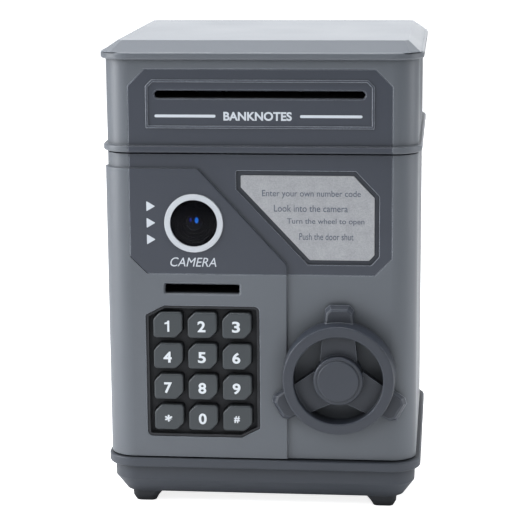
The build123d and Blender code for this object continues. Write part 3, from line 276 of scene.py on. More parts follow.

# %% Group for softened edges with a painted highlight, and painted shade in sheltered hollows
# the paler colour that edges are painted with, as a highlight
HIGHLIGHT_PALE = (0.55, 0.60, 0.68, 1.0)
edges, given, out = new_group(
    "soft_edges",
    ((COLOUR, "Colour", MIDDLE_GREY), (FLOAT, "Rub", 0.25), (FLOAT, "Radius", 0.0004),
     (FLOAT, "Hollow Reach", 0.008), (FLOAT, "Hollow Depth", 0.62)),
    ((COLOUR, "Colour"), (VECTOR, "Normal"), (FLOAT, "Open")))
rounding = add_node(edges, "ShaderNodeBevel", {"samples": 6}, Radius=given.outputs["Radius"])
facing = add_node(edges, "ShaderNodeNewGeometry").outputs["Normal"]
match = add_node(edges, "ShaderNodeVectorMath", {"operation": "DOT_PRODUCT"},
                 _0=rounding.outputs["Normal"], _1=facing)
bend = add_node(edges, "ShaderNodeMapRange", {"interpolation_type": "SMOOTHSTEP"},
                Value=match.outputs["Value"], From_Min=0.995, From_Max=0.80)
patchy = add_node(edges, "ShaderNodeTexNoise", Vector=object_place(edges), Scale=160.0, Detail=4.0,
                  Roughness=0.7)
# occlusion of the hollows: it paints shade into their colour and keeps the painted highlight off them
hollow = add_node(edges, "ShaderNodeAmbientOcclusion", {"samples": 8},
                  Distance=given.outputs["Hollow Reach"])
sheltered = math_node(edges, "SUBTRACT", 1.0, hollow.outputs["AO"])
shut = math_node(edges, "MULTIPLY", given.outputs["Hollow Depth"], sheltered)
open_share = math_node(edges, "POWER", math_node(edges, "SUBTRACT", 1.0, shut), 1.5)
# edges that the Bevel normal turns are painted paler in patches: a painted highlight
patches = math_node(edges, "ADD", 0.45, patchy.outputs["Fac"])
highlight_strength = math_node(edges, "MULTIPLY", given.outputs["Rub"], patches)
exposed = math_node(edges, "MULTIPLY", bend.outputs["Result"], open_share)
highlight_mask = math_node(edges, "MULTIPLY", exposed, highlight_strength, clamp=True)
pale = blend_colours(edges, highlight_mask, given.outputs["Colour"], HIGHLIGHT_PALE)
# the colour times the open share is painted shade in the hollows
feed(edges, out, Colour=scale_colour(edges, pale, open_share), Normal=rounding.outputs["Normal"],
     Open=open_share)

# %% Group for brushed metal
brushed, given, out = new_group(
    "brushed_lines",
    ((COLOUR, "Colour", (0.5, 0.5, 0.5, 1.0)), (VECTOR, "Stretch", (60.0, 4000.0, 4000.0)),
     (FLOAT, "Roughness", 0.35)),
    ((COLOUR, "Colour"), (FLOAT, "Roughness"), (FLOAT, "Height")))
where = object_place(brushed)
pulled = add_node(brushed, "ShaderNodeVectorMath", {"operation": "MULTIPLY"},
                  _0=where, _1=given.outputs["Stretch"])
lines = add_node(brushed, "ShaderNodeTexNoise", Vector=pulled.outputs["Vector"], Scale=1.0,
                 Detail=3.0, Roughness=0.6)
clouds = add_node(brushed, "ShaderNodeTexNoise", Vector=where, Scale=180.0, Detail=3.0)
gain = math_node(brushed, "ADD", 0.86, math_node(brushed, "MULTIPLY", lines.outputs["Fac"], 0.28))
swing = math_node(brushed, "SUBTRACT", clouds.outputs["Fac"], 0.5)
rough = math_node(brushed, "ADD", given.outputs["Roughness"], math_node(brushed, "MULTIPLY", swing, 0.24))
feed(brushed, out, Colour=scale_colour(brushed, given.outputs["Colour"], gain), Roughness=rough,
     Height=lines.outputs["Fac"])
print("groups:", [group.name for group in bpy.data.node_groups])

# %% [markdown]
# ## Finishes
#
# One recipe covers all the mouldings: the grain group feeds the edge group, and a Bump node
# lays the grain over the rounded normal. What changes from part to part is the pigment, the
# gloss, how coarse the grain is and how far the corners are softened, so those are the
# recipe's arguments. Metals swap the grain for brushed lines.


# %% Recipes
GRAIN_DEPTH = 0.02 * MM
BRUSH_DEPTH = 0.004 * MM


def start_material(name):
    """Material with only a Principled BSDF and its output."""
    material = bpy.data.materials.new(name)
    material.use_nodes = True
    return material, material.node_tree, material.node_tree.nodes["Principled BSDF"]


def place_group(tree, group, **values):
    """One use of a shader group in a material."""
    return add_node(tree, "ShaderNodeGroup", {"node_tree": group}, **values)


def lay_bump(tree, shader, height, distance, normal=None):
    """Bump the shader's normal by a height that is given in shares of the distance, in metres."""
    bump = add_node(tree, "ShaderNodeBump", Strength=1.0, Distance=distance, Height=height)
    if normal is not None:
        feed(tree, bump, Normal=normal)
    feed(tree, shader, Normal=bump.outputs["Normal"])


def moulded(name, colour, roughness, unevenness=0.06, grain_per_metre=2600.0, grain_height=0.5,
            rub=0.18, radius=0.35, specular=0.5, hollow=0.62):
    """Moulded plastic or rubber with grain and softened edges; radius is in millimetres.

    Dust makes a sheltered place rougher, by half of the share of it that is shut in.
    """
    material, tree, shader = start_material(name)
    skin = place_group(tree, grain, Colour=(*colour, 1.0), Unevenness=unevenness, Roughness=roughness,
                       Grain_per_metre=grain_per_metre, Grain_Height=grain_height)
    # the edge group paints a highlight on the edges and shade in the hollows into the colour
    edge_shading = place_group(tree, edges, Colour=skin.outputs["Colour"], Rub=rub, Radius=radius * MM,
                       Hollow_Depth=hollow)
    dust = math_node(tree, "MULTIPLY", math_node(tree, "SUBTRACT", 1.0, edge_shading.outputs["Open"]), 0.5)
    rough = math_node(tree, "ADD", skin.outputs["Roughness"], dust, clamp=True)
    feed(tree, shader, Base_Color=edge_shading.outputs["Colour"], Roughness=rough, Specular_IOR_Level=specular)
    lay_bump(tree, shader, skin.outputs["Height"], GRAIN_DEPTH, edge_shading.outputs["Normal"])
    return material


def metal(name, colour, roughness, stretch):
    """Brushed or plated metal whose lines run along the axis with the smallest stretch."""
    material, tree, shader = start_material(name)
    skin = place_group(tree, brushed, Colour=(*colour, 1.0), Stretch=stretch, Roughness=roughness)
    # on metal too the edge group paints a faint highlight on edges and shade in hollows
    edge_shading = place_group(tree, edges, Colour=skin.outputs["Colour"], Rub=0.12, Radius=0.15 * MM)
    feed(tree, shader, Base_Color=edge_shading.outputs["Colour"], Roughness=skin.outputs["Roughness"], Metallic=1.0)
    lay_bump(tree, shader, skin.outputs["Height"], BRUSH_DEPTH, edge_shading.outputs["Normal"])
    return material


# %% Finishes of the mouldings
# the edges of these finishes are painted paler as a highlight, and their hollows get painted shade
FINISHES = {
    "shell_grey": moulded("shell_grey", (0.0900, 0.0990, 0.1130), 0.42, grain_per_metre=2400.0,
                          grain_height=0.45, rub=0.50, radius=0.45, hollow=0.50),
    "dark_plastic": moulded("dark_plastic", (0.0300, 0.0350, 0.0480), 0.42, unevenness=0.08, rub=0.62,
                            radius=0.45),
    "wheel_plastic": moulded("wheel_plastic", (0.0230, 0.0275, 0.0385), 0.42, unevenness=0.08,
                             rub=0.62, radius=0.5),
    "base_plastic": moulded("base_plastic", (0.0320, 0.0375, 0.0490), 0.46, unevenness=0.08, rub=0.16),
    "foot_rubber": moulded("foot_rubber", (0.020, 0.022, 0.027), 0.62, unevenness=0.12,
                           grain_per_metre=1500.0, rub=0.08),
    "key_plastic": moulded("key_plastic", (0.0270, 0.0330, 0.0375), 0.38, grain_per_metre=3200.0,
                           grain_height=0.3, rub=0.10, radius=0.25),
    "black_plastic": moulded("black_plastic", (0.0085, 0.0095, 0.0130), 0.55, unevenness=0.10, rub=0.08),
    "liner_plastic": moulded("liner_plastic", (0.085, 0.092, 0.104), 0.50, unevenness=0.08, rub=0.10),
    "white_plastic": moulded("white_plastic", (0.45, 0.47, 0.50), 0.36, unevenness=0.03,
                             grain_height=0.2, rub=0.0, radius=0.2),
    "silicone": moulded("silicone", (0.16, 0.17, 0.18), 0.55, unevenness=0.05, rub=0.0),
    "gear_plastic": moulded("gear_plastic", (0.62, 0.60, 0.53), 0.40, unevenness=0.05,
                            grain_height=0.2, rub=0.0, radius=0.15),
    "roller_rubber": moulded("roller_rubber", (0.028, 0.028, 0.030), 0.66, unevenness=0.15,
                             grain_per_metre=1200.0, rub=0.0),
    "steel": metal("steel", (0.56, 0.56, 0.57), 0.30, (900.0, 900.0, 900.0)),
    "plated_steel": metal("plated_steel", (0.62, 0.61, 0.56), 0.34, (80.0, 2600.0, 2600.0)),
}
print("finishes:", sorted(FINISHES))

# %% [markdown]
# ## Finishes that need their own pattern
#
# The nameplate is printed silver foil: its sparkle is a field of tiny flakes, each with its own
# brightness. The circuit boards carry copper tracks under green lacquer, drawn here by two
# crossed waves that a coarse noise switches on and off. The cells wear a printed sleeve whose
# bands follow their length.

# %% Silver foil
FOIL_DARK, FOIL_LIGHT = (0.215, 0.22, 0.235, 1.0), (0.405, 0.41, 0.42, 1.0)
material, tree, shader = start_material("silver_plate")
where = object_place(tree)
flakes = add_node(tree, "ShaderNodeTexVoronoi", Vector=where, Scale=2800.0)
flake = add_node(tree, "ShaderNodeSeparateColor", Color=flakes.outputs["Color"]).outputs["Red"]
clouds = add_node(tree, "ShaderNodeTexNoise", Vector=where, Scale=260.0, Detail=4.0, Roughness=0.65)
sparkle = math_node(tree, "MULTIPLY", flake, 0.35)
tone = math_node(tree, "ADD", sparkle, math_node(tree, "MULTIPLY", clouds.outputs["Fac"], 0.65))
rough = math_node(tree, "ADD", 0.40, math_node(tree, "MULTIPLY", flake, 0.18))
feed(tree, shader, Base_Color=blend_colours(tree, tone, FOIL_DARK, FOIL_LIGHT), Roughness=rough,
     Metallic=0.35)
lay_bump(tree, shader, flake, 0.006 * MM)
FINISHES["silver_plate"] = material

# %% Circuit board
LACQUER, COVERED_COPPER = (0.010, 0.065, 0.030, 1.0), (0.025, 0.130, 0.055, 1.0)
SOLDER = (0.55, 0.52, 0.45, 1.0)
material, tree, shader = start_material("circuit_board")
where = object_place(tree)
across = add_node(tree, "ShaderNodeTexWave", {"wave_type": "BANDS", "bands_direction": "X"},
                  Vector=where, Scale=140.0)
along = add_node(tree, "ShaderNodeTexWave", {"wave_type": "BANDS", "bands_direction": "Z"},
                 Vector=where, Scale=140.0)
switch = add_node(tree, "ShaderNodeTexVoronoi", Vector=where, Scale=170.0)
patch = add_node(tree, "ShaderNodeSeparateColor", Color=switch.outputs["Color"]).outputs["Red"]
picked = add_node(tree, "ShaderNodeMix", {"data_type": "FLOAT"},
                  _0=math_node(tree, "GREATER_THAN", patch, 0.5),
                  _2=across.outputs["Fac"], _3=along.outputs["Fac"])
track = math_node(tree, "GREATER_THAN", picked.outputs[0], 0.62)
pads = math_node(tree, "LESS_THAN", switch.outputs["Distance"], 0.16)
lacquer = blend_colours(tree, track, LACQUER, COVERED_COPPER)
feed(tree, shader, Base_Color=blend_colours(tree, pads, lacquer, SOLDER), Roughness=0.32,
     Metallic=math_node(tree, "MULTIPLY", pads, 0.8))
lay_bump(tree, shader, math_node(tree, "ADD", track, pads), 0.03 * MM)
FINISHES["circuit_board"] = material

# %% Cell sleeve
CELL_LENGTH = 50 * MM
END_TINT, TIP_TINT = (0.52, 0.51, 0.48, 1.0), (0.60, 0.59, 0.56, 1.0)
BANDS = ((0.03, (0.03, 0.03, 0.035, 1.0)), (0.62, (0.50, 0.30, 0.13, 1.0)),
         (0.68, (0.06, 0.14, 0.20, 1.0)))
material, tree, shader = start_material("cell_wrap")
where = object_place(tree)
length = add_node(tree, "ShaderNodeSeparateXYZ", Vector=where).outputs["X"]
share = math_node(tree, "ADD", math_node(tree, "MULTIPLY", length, 1 / CELL_LENGTH), 0.5)
bands = add_node(tree, "ShaderNodeValToRGB", Fac=share)
stops = bands.color_ramp
stops.interpolation = "CONSTANT"
stops.elements[0].color = END_TINT
stops.elements[1].position, stops.elements[1].color = 0.985, TIP_TINT
for position, tint in BANDS:
    stops.elements.new(position).color = tint
scuffs = add_node(tree, "ShaderNodeTexNoise", Vector=where, Scale=900.0, Detail=3.0).outputs["Fac"]
scuffed = blend_colours(tree, math_node(tree, "MULTIPLY", scuffs, 0.12), bands.outputs["Color"],
                        (0.5, 0.5, 0.5, 1.0))
rough = math_node(tree, "ADD", 0.22, math_node(tree, "MULTIPLY", scuffs, 0.16))
feed(tree, shader, Base_Color=scuffed, Roughness=rough)
lay_bump(tree, shader, scuffs, 0.008 * MM)
FINISHES["cell_wrap"] = material
print("patterned finishes: silver_plate, circuit_board, cell_wrap")

# %% Give each engineered part its finish
# these three share a slot with other parts and look different
OWN_FINISHES = {"handwheel": "wheel_plastic", "hub_cap": "wheel_plastic", "lens_window": "black_plastic"}
slot_of_node = {part["node"]: part["material_slot"] for part in frame["record"]["subparts"]}
for name, node in nodes.items():
    for place in node.material_slots:
        place.material = FINISHES[OWN_FINISHES.get(name, slot_of_node[name])]
print("finished nodes:", len(slot_of_node))

# %% [markdown]
# ## Building surfaces from arrays
#
# Each new piece is a grid of points worked out with numpy. A grid has rows and columns; where a
# surface closes on itself its last column joins its first, and where a tube or a disc ends, the
# end row is drawn together to its middle. The helper joins the points into faces, gives the mesh
# its finish, and lets it ride on its body.


# %% Grid and piece helpers
def grid_faces(rows, columns):
    """Quads of a grid whose last column joins its first.

    Each quad joins a point, the next in its row, and the same two one row on.
    """
    row = np.arange(rows - 1)[:, None]
    column = np.arange(columns)[None, :]
    after = (column + 1) % columns
    corners = (row * columns + column, row * columns + after,
               (row + 1) * columns + after, (row + 1) * columns + column)
    return np.stack(np.broadcast_arrays(*corners), axis=-1).reshape(-1, 4)


def close_mesh(mesh):
    """Merge points that share a place, drop faces with no area, and turn all faces outwards."""
    work = bmesh.new()
    work.from_mesh(mesh)
    bmesh.ops.remove_doubles(work, verts=work.verts, dist=1e-7)
    bmesh.ops.dissolve_degenerate(work, edges=work.edges, dist=1e-8)
    bmesh.ops.recalc_face_normals(work, faces=work.faces)
    work.to_mesh(mesh)
    work.free()


def place_piece(mesh, finish, body):
    """Object of a mesh, named after it, that rides on a body and stands in a material slot."""
    mesh.materials.append(finish)
    piece = bpy.data.objects.new(mesh.name, mesh)
    bpy.context.scene.collection.objects.link(piece)
    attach(piece, body)
    return piece


def add_piece(name, points, faces, body, finish, smooth=True):
    """Mesh piece at the origin from an array of points in metres and an array of quads."""
    mesh = bpy.data.meshes.new(name)
    mesh.from_pydata(points.reshape(-1, 3).tolist(), [], faces.tolist())
    close_mesh(mesh)
    mesh.polygons.foreach_set("use_smooth", np.full(len(mesh.polygons), smooth))
    return place_piece(mesh, finish, body)


# %% Shape helpers
def revolved(profile, centre, segments=48, axis="Y"):
    """Points and faces of a profile of (radius, distance) turned once about an axis through a centre.

    At angle a a point stands radius times (cos a, sin a) off the axis and its distance along it.
    """
    profile = np.asarray(profile, float)
    angle = np.linspace(0, 2 * np.pi, segments, endpoint=False)
    radius, distance = profile[:, :1], np.repeat(profile[:, 1:], segments, axis=1)
    first, second = radius * np.cos(angle), radius * np.sin(angle)
    order = (first, second, distance) if axis == "Z" else (first, distance, second)
    return np.stack(order, axis=-1) + np.asarray(centre, float), grid_faces(len(profile), segments)


def tube_along(path, radius, sides):
    """Points and faces of a round tube on a path of points, with both ends drawn closed.

    Each ring lies in the plane across the path there: its two axes are the path's direction
    crossed with the upright (or with X where the path is upright), and that crossed with it again.
    """
    ahead = np.gradient(path, axis=0)
    ahead /= np.linalg.norm(ahead, axis=1)[:, None]
    guide = np.where(np.abs(ahead[:, 2:]) > 0.95, (1.0, 0.0, 0.0), (0.0, 0.0, 1.0))
    first = np.cross(ahead, guide)
    first /= np.linalg.norm(first, axis=1)[:, None]
    second = np.cross(ahead, first)
    angle = np.linspace(0, 2 * np.pi, sides, endpoint=False)
    ring = first[:, None] * np.cos(angle)[:, None] + second[:, None] * np.sin(angle)[:, None]
    wall = path[:, None] + radius * ring
    ends = np.repeat(path[[0, -1], None], sides, axis=1)
    points = np.concatenate((ends[:1], wall, ends[1:]))
    return points, grid_faces(len(points), sides)


def prism(outline, front, back):
    """Points and faces of a flat shape carried from one Y to another; outline is in X and Z.

    Its faces are a fan from the middle to the outline, the side wall, and a second fan.
    """
    middle = np.repeat(outline.mean(0)[None], len(outline), axis=0)
    rows = [(middle, front), (outline, front), (outline, back), (middle, back)]
    points = np.stack([np.column_stack((xz[:, 0], np.full(len(xz), y), xz[:, 1])) for xz, y in rows])
    return points, grid_faces(len(rows), len(outline))


# %% [markdown]
# ## Printed marks
#
# The white marks are pad-printed ink: flat, slightly raised, with rounded ends. A bar is a
# stadium outline, two half circles joined by straight lines, and the arrow heads are triangles
# whose corners are softened by carrying a small circle round them. Ink is only a few hundredths
# of a millimetre thick, and that is how thick these are.

# %% Ink
INK = 0.04 * MM
SINK = 0.02 * MM
white_ink = moulded("white_ink", (0.50, 0.53, 0.57), 0.40, unevenness=0.05, grain_height=0.15,
                    rub=0.0, radius=0.05)
plate_ink = moulded("plate_ink", (0.070, 0.082, 0.115), 0.45, unevenness=0.10, grain_height=0.15,
                    rub=0.0, radius=0.05)
key_ink = moulded("key_ink", (0.60, 0.63, 0.66), 0.38, unevenness=0.03, grain_height=0.15,
                  rub=0.0, radius=0.05)
plate_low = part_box("info_plate")[0]
UPPER_FACE = plate_low.y - 0.4 * MM
DOOR_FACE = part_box("door_inlay")[0].y
print("inks:", white_ink.name, plate_ink.name, key_ink.name)


# %% Outlines
def stadium(centre, length, height, steps=10):
    """Outline of a bar with half-circle ends: each end is a half circle about its own middle."""
    angle = np.linspace(-np.pi / 2, np.pi / 2, steps)
    end = np.column_stack((np.cos(angle), np.sin(angle))) * height / 2
    reach = length / 2 - height / 2
    return np.concatenate((end + (reach, 0), -end - (reach, 0))) + np.asarray(centre)


def soft_polygon(corners, radius, steps=6):
    """Outline of a polygon with rounded corners: a small circle's arc stands at each inset corner."""
    corners = np.asarray(corners, float)
    before, after = np.roll(corners, 1, axis=0), np.roll(corners, -1, axis=0)
    come = (corners - before) / np.linalg.norm(corners - before, axis=1)[:, None]
    leave = (after - corners) / np.linalg.norm(after - corners, axis=1)[:, None]
    inward = leave - come
    half = np.arccos(np.clip(np.sum(-come * leave, axis=1), -1, 1)) / 2
    middle = corners + inward / np.linalg.norm(inward, axis=1)[:, None] * (radius / np.sin(half))[:, None]
    start = np.arctan2(-come[:, 0], come[:, 1])
    sweep = (np.arctan2(-leave[:, 0], leave[:, 1]) - start + np.pi) % (2 * np.pi) - np.pi
    angle = start[:, None] + sweep[:, None] * np.linspace(0, 1, steps)
    arc = np.stack((-np.cos(angle), -np.sin(angle)), axis=-1)
    turned = np.where((sweep > 0)[:, None, None], -arc, arc)
    return (middle[:, None] + radius * turned).reshape(-1, 2)


# %% Bars beside the slot's name
# each bar's two ends, in millimetres from the middle of the bank
BARS = {"bar_left": (-42.7, -17.8), "bar_right": (16.4, 41.5)}
BAR_THICKNESS = 1.15 * MM
NAME_DROP = 18.9 * MM
name_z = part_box("upper_inlay")[1].z - NAME_DROP
for bar_name, (low, high) in BARS.items():
    outline = stadium(((low + high) / 2 * MM, name_z), (high - low) * MM, BAR_THICKNESS)
    points, faces = prism(outline, UPPER_FACE - INK, UPPER_FACE + SINK)
    add_piece(bar_name, points, faces, "housing", white_ink, smooth=False)

# %% Arrow heads beside the camera
ARROW = np.array(((0, 0), (-3.6, 2.1), (-3.6, -2.1))) * MM
ARROW_RISES = (6.9, 0.0, -6.9)
ring_low, ring_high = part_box("lens_ring")
ring_x, ring_z = (ring_low.x + ring_high.x) / 2, (ring_low.z + ring_high.z) / 2
for number, rise in enumerate(ARROW_RISES):
    tip = np.array((ring_x - 15.8 * MM, ring_z + rise * MM))
    points, faces = prism(soft_polygon(tip + ARROW, 0.18 * MM), DOOR_FACE - INK, DOOR_FACE + SINK)
    add_piece(f"arrow_{number}", points, faces, "door", white_ink, smooth=False)
print("printed marks:", len(BARS), "bars,", len(ARROW_RISES), "arrows, ink", INK / MM, "mm thick")

# %% [markdown]
# ## Numbers and words
#
# Blender's own font stands in for the printer's type. A text curve is thickened with its offset,
# turned into a mesh, and only then scaled into the space that the print has on the part, so the
# object itself stays at the origin. The key numbers ride on their own keys. The words are plain
# ones that say what each thing is for.


# %% Lettering helper
def lettering(name, words, low, high, face, body, finish, weight=0.0, slant=0.0):
    """Words as a thin solid that fills the space between two corners in X and Z.

    Text is drawn flat in X and Y; the mesh's x goes to X, its y to Z and its thickness to -Y.
    """
    curve = bpy.data.curves.new(name, "FONT")
    curve.body, curve.offset, curve.shear = words, weight, slant
    curve.resolution_u, curve.extrude = 5, 0.02
    drawn = bpy.data.objects.new(name + "_drawn", curve)
    bpy.context.scene.collection.objects.link(drawn)
    bpy.context.view_layer.update()
    flat = bpy.data.meshes.new_from_object(drawn.evaluated_get(bpy.context.evaluated_depsgraph_get()))
    bpy.data.objects.remove(drawn)
    points = np.zeros(len(flat.vertices) * 3)
    flat.vertices.foreach_get("co", points)
    points = points.reshape(-1, 3)
    share = (points - points.min(0)) / (points.max(0) - points.min(0))
    placed = np.column_stack((low[0] + share[:, 0] * (high[0] - low[0]),
                              face + SINK - share[:, 2] * (INK + SINK),
                              low[1] + share[:, 1] * (high[1] - low[1])))
    flat.vertices.foreach_set("co", placed.ravel())
    flat.name = name
    close_mesh(flat)
    flat.materials.clear()
    return place_piece(flat, finish, body)


# %% Key numbers
DIGIT_HEIGHT = 4.7 * MM
# what is drawn on a key where it is not the key's own number, and how wide and high, in millimetres
SYMBOLS = {"4": ("4", 3.5, 4.7), "star": ("*", 3.1, 3.0), "hash": ("#", 2.5, 3.0)}
NUDGE = np.array((-0.3, -0.45)) * MM
# the built-in font's figure one is a plain bar, so this one gets a flag: shares of the height
ONE_OUTLINE = np.array(((0.02, -0.5), (0.20, -0.5), (0.20, 0.0), (0.20, 0.5), (0.06, 0.5), (-0.02, 0.38),
                        (-0.22, 0.30), (-0.22, 0.17), (-0.02, 0.20), (0.02, 0.21), (0.02, 0.0)))
key_names = sorted(n for n in nodes if n.startswith("key_") and n not in ("key_mat", "key_board"))
for name in key_names:
    low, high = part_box(name)
    middle = np.array(((low.x + high.x) / 2, (low.z + high.z) / 2)) + NUDGE
    mark = name.removeprefix("key_")
    if mark == "1":
        points, faces = prism(middle + ONE_OUTLINE * DIGIT_HEIGHT, low.y - INK, low.y + SINK)
        add_piece("print_1", points, faces, "button_1", key_ink, smooth=False)
        continue
    words, width, height = SYMBOLS.get(mark, (mark, 3.3, 4.7))
    half = np.array((width, height)) * MM / 2
    lettering("print_" + mark, words, middle - half, middle + half, low.y, "button_" + mark, key_ink,
              weight=0.028)

# %% Words on the inlay and the nameplate
lettering("slot_name", "BANKNOTES", (-14.6 * MM, name_z - 1.8 * MM), (13.1 * MM, name_z + 1.8 * MM),
          UPPER_FACE, "housing", white_ink, weight=0.03)
lettering("camera_name", "CAMERA", (ring_x - 9.9 * MM, ring_z - 18.1 * MM),
          (ring_x + 9.1 * MM, ring_z - 14.3 * MM), DOOR_FACE, "door", white_ink, slant=0.25)
# each line's left, right, bottom and top, in millimetres from the plate's lower left corner
PLATE_LINES = (("Enter your own number code", 8.7, 48.8, 25.5, 28.9),
               ("Look into the camera", 13.5, 43.6, 20.0, 22.8),
               ("Turn the wheel to open", 18.8, 50.3, 14.4, 17.3),
               ("Push the door shut", 23.8, 45.9, 8.4, 11.2))
for number, (words, start, end, base, top) in enumerate(PLATE_LINES):
    lettering(f"plate_line_{number}", words, (plate_low.x + start * MM, plate_low.z + base * MM),
              (plate_low.x + end * MM, plate_low.z + top * MM), plate_low.y, "door", plate_ink,
              weight=0.004)
print("lettering:", len(key_names), "keys, 2 labels,", len(PLATE_LINES), "lines")

# %% [markdown]
# ## The camera's lens
#
# A toy camera window is a dark, domed cover over a stepped barrel with a small coated lens at
# its foot. Two tiny glowing spots behind the cover are painted blue glints that stand in for
# reflections inside the lens. The dome's height falls off with the square of the radius, the
# barrel is a staircase profile turned about the axis, and the painted glints are flattened
# spheres. The cover is tinted and see-through, and its gloss comes from a low roughness and not
# from paint.

# %% Lens cover
window_low, window_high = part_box("lens_window")
lens_axis = (ring_x, 0.0, ring_z)
lens_radius = (window_high.x - window_low.x) / 2
cover_front, lens_foot = window_low.y, window_high.y
COVER_DARK, COVER_SMEARED = (0.002, 0.002, 0.003, 1.0), (0.004, 0.004, 0.006, 1.0)

cover_material, tree, shader = start_material("tinted_cover")
smear = add_node(tree, "ShaderNodeTexNoise", Vector=object_place(tree), Scale=350.0, Detail=3.0)
smear = smear.outputs["Fac"]
feed(tree, shader, Base_Color=blend_colours(tree, smear, COVER_DARK, COVER_SMEARED), Alpha=0.60,
     Roughness=math_node(tree, "ADD", 0.03, math_node(tree, "MULTIPLY", smear, 0.04)),
     Specular_IOR_Level=0.10)

shares = np.linspace(0, 1, 14)
dome = [(lens_radius * s, cover_front + 0.55 * MM * s ** 2) for s in shares]
under = [(lens_radius * s, cover_front + 0.35 * MM + 0.45 * MM * s ** 2) for s in shares[::-1]]
points, faces = revolved(dome + under, lens_axis, 72)
cover = add_piece("lens_cover", points, faces, "door", cover_material)
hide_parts("lens_window")
print("lens cover:", round(lens_radius / MM * 2, 1), "mm across")

# %% Lens barrel
BARREL_STEPS = 4
barrel_edge = lens_radius - 0.05 * MM
barrel_top, barrel_foot = cover_front + 0.95 * MM, lens_foot - 0.02 * MM
bead_seat = lens_foot - 0.12 * MM
barrel = [(barrel_edge, barrel_top)]
for number in range(BARREL_STEPS):
    step_radius = lens_radius - (0.9 + 1.35 * number) * MM
    step_y = cover_front + (1.0 + 0.22 * number) * MM
    barrel += [(step_radius, step_y), (step_radius - 0.08 * MM, step_y + 0.2 * MM)]
barrel += [(3.6 * MM, bead_seat), (0.0, bead_seat), (0.0, barrel_foot), (barrel_edge, barrel_foot),
           (barrel_edge, barrel_top)]
points, faces = revolved(barrel, lens_axis, 72)
barrel_finish = moulded("barrel_black", (0.0012, 0.0012, 0.0018), 0.55, unevenness=0.1, rub=0.01,
                        radius=0.08, specular=0.12)
add_piece("lens_barrel", points, faces, "door", barrel_finish, smooth=False)
print("lens barrel:", BARREL_STEPS, "steps")

# %% Lens bead
BEAD_RADIUS, BEAD_HEIGHT = 3.4 * MM, 0.75 * MM
COAT_FACING, COAT_GRAZING = (0.010, 0.012, 0.060, 1.0), (0.030, 0.010, 0.070, 1.0)
COAT_STAIN = (0.01, 0.04, 0.09, 1.0)
bead_material, tree, shader = start_material("coated_lens")
tint = add_node(tree, "ShaderNodeLayerWeight", Blend=0.35).outputs["Facing"]
stain = add_node(tree, "ShaderNodeTexNoise", Vector=object_place(tree), Scale=500.0)
coating = blend_colours(tree, tint, COAT_FACING, COAT_GRAZING)
stained = blend_colours(tree, math_node(tree, "MULTIPLY", stain.outputs["Fac"], 0.3), coating, COAT_STAIN)
feed(tree, shader, Base_Color=stained, Roughness=0.06, Coat_Weight=1.0)
bead = [(BEAD_RADIUS * math.sin(a), bead_seat - BEAD_HEIGHT * math.cos(a))
        for a in np.linspace(0, np.pi / 2, 14)]
bead += [(BEAD_RADIUS, lens_foot - 0.06 * MM), (0.0, lens_foot - 0.06 * MM)]
points, faces = revolved(bead, lens_axis)
add_piece("lens_bead", points, faces, "door", bead_material)


# %% Painted glints behind the cover
def glint_material(name, colour, strength):
    """A glowing spot that paints a glint of reflected light, mottled by a fine noise."""
    material, tree, shader = start_material(name)
    mottle = add_node(tree, "ShaderNodeTexNoise", Vector=object_place(tree), Scale=2500.0, Detail=2.0)
    faint = tuple(c * 0.55 for c in colour)
    glow = blend_colours(tree, mottle.outputs["Fac"], (*faint, 1.0), (*colour, 1.0))
    feed(tree, shader, Emission_Color=glow, Base_Color=glow, Emission_Strength=strength, Roughness=0.2)
    return material


# each painted glint's offset from the lens axis and its half width and half height in
# millimetres, then its colour and strength
# these glowing spots are painted reflections, not lamps
GLINTS = {"glint_blue": ((1.15, 1.1), (0.75, 1.25), (0.02, 0.22, 1.0), 4.4),
         "glint_violet": ((-1.35, 1.3), (0.45, 0.85), (0.05, 0.07, 0.75), 1.6)}
GLINT_HALF_DEPTH = 0.22
GLINT_ROWS, GLINT_COLUMNS = 12, 20
pole = np.linspace(0, np.pi, GLINT_ROWS)[:, None]
around = np.linspace(0, 2 * np.pi, GLINT_COLUMNS, endpoint=False)[None, :]
for glint_name, ((dx, dz), (half_x, half_z), colour, strength) in GLINTS.items():
    egg = np.stack((np.sin(pole) * np.cos(around) * half_x,
                    -np.cos(pole) * GLINT_HALF_DEPTH + 0 * around,
                    np.sin(pole) * np.sin(around) * half_z), axis=-1) * MM
    egg += (ring_x + dx * MM, cover_front + 0.68 * MM, ring_z + dz * MM)
    add_piece(glint_name, egg, grid_faces(GLINT_ROWS, GLINT_COLUMNS), "door",
              glint_material(glint_name, colour, strength))
print("glints:", sorted(GLINTS))

# %% [markdown]
# ## Screws
#
# Four long screws hold the base to the cabinet, and four short ones hold the door's liner. A pan
# head is a low dome; its cross is pressed in, so the height of each point on a polar grid drops
# where it lies inside either bar of the cross. The shank is a ridged cone under it. The base
# screws stand for the plain ones in the frame.


# %% Screw maker
SCREW_PITCH = 0.9 * MM


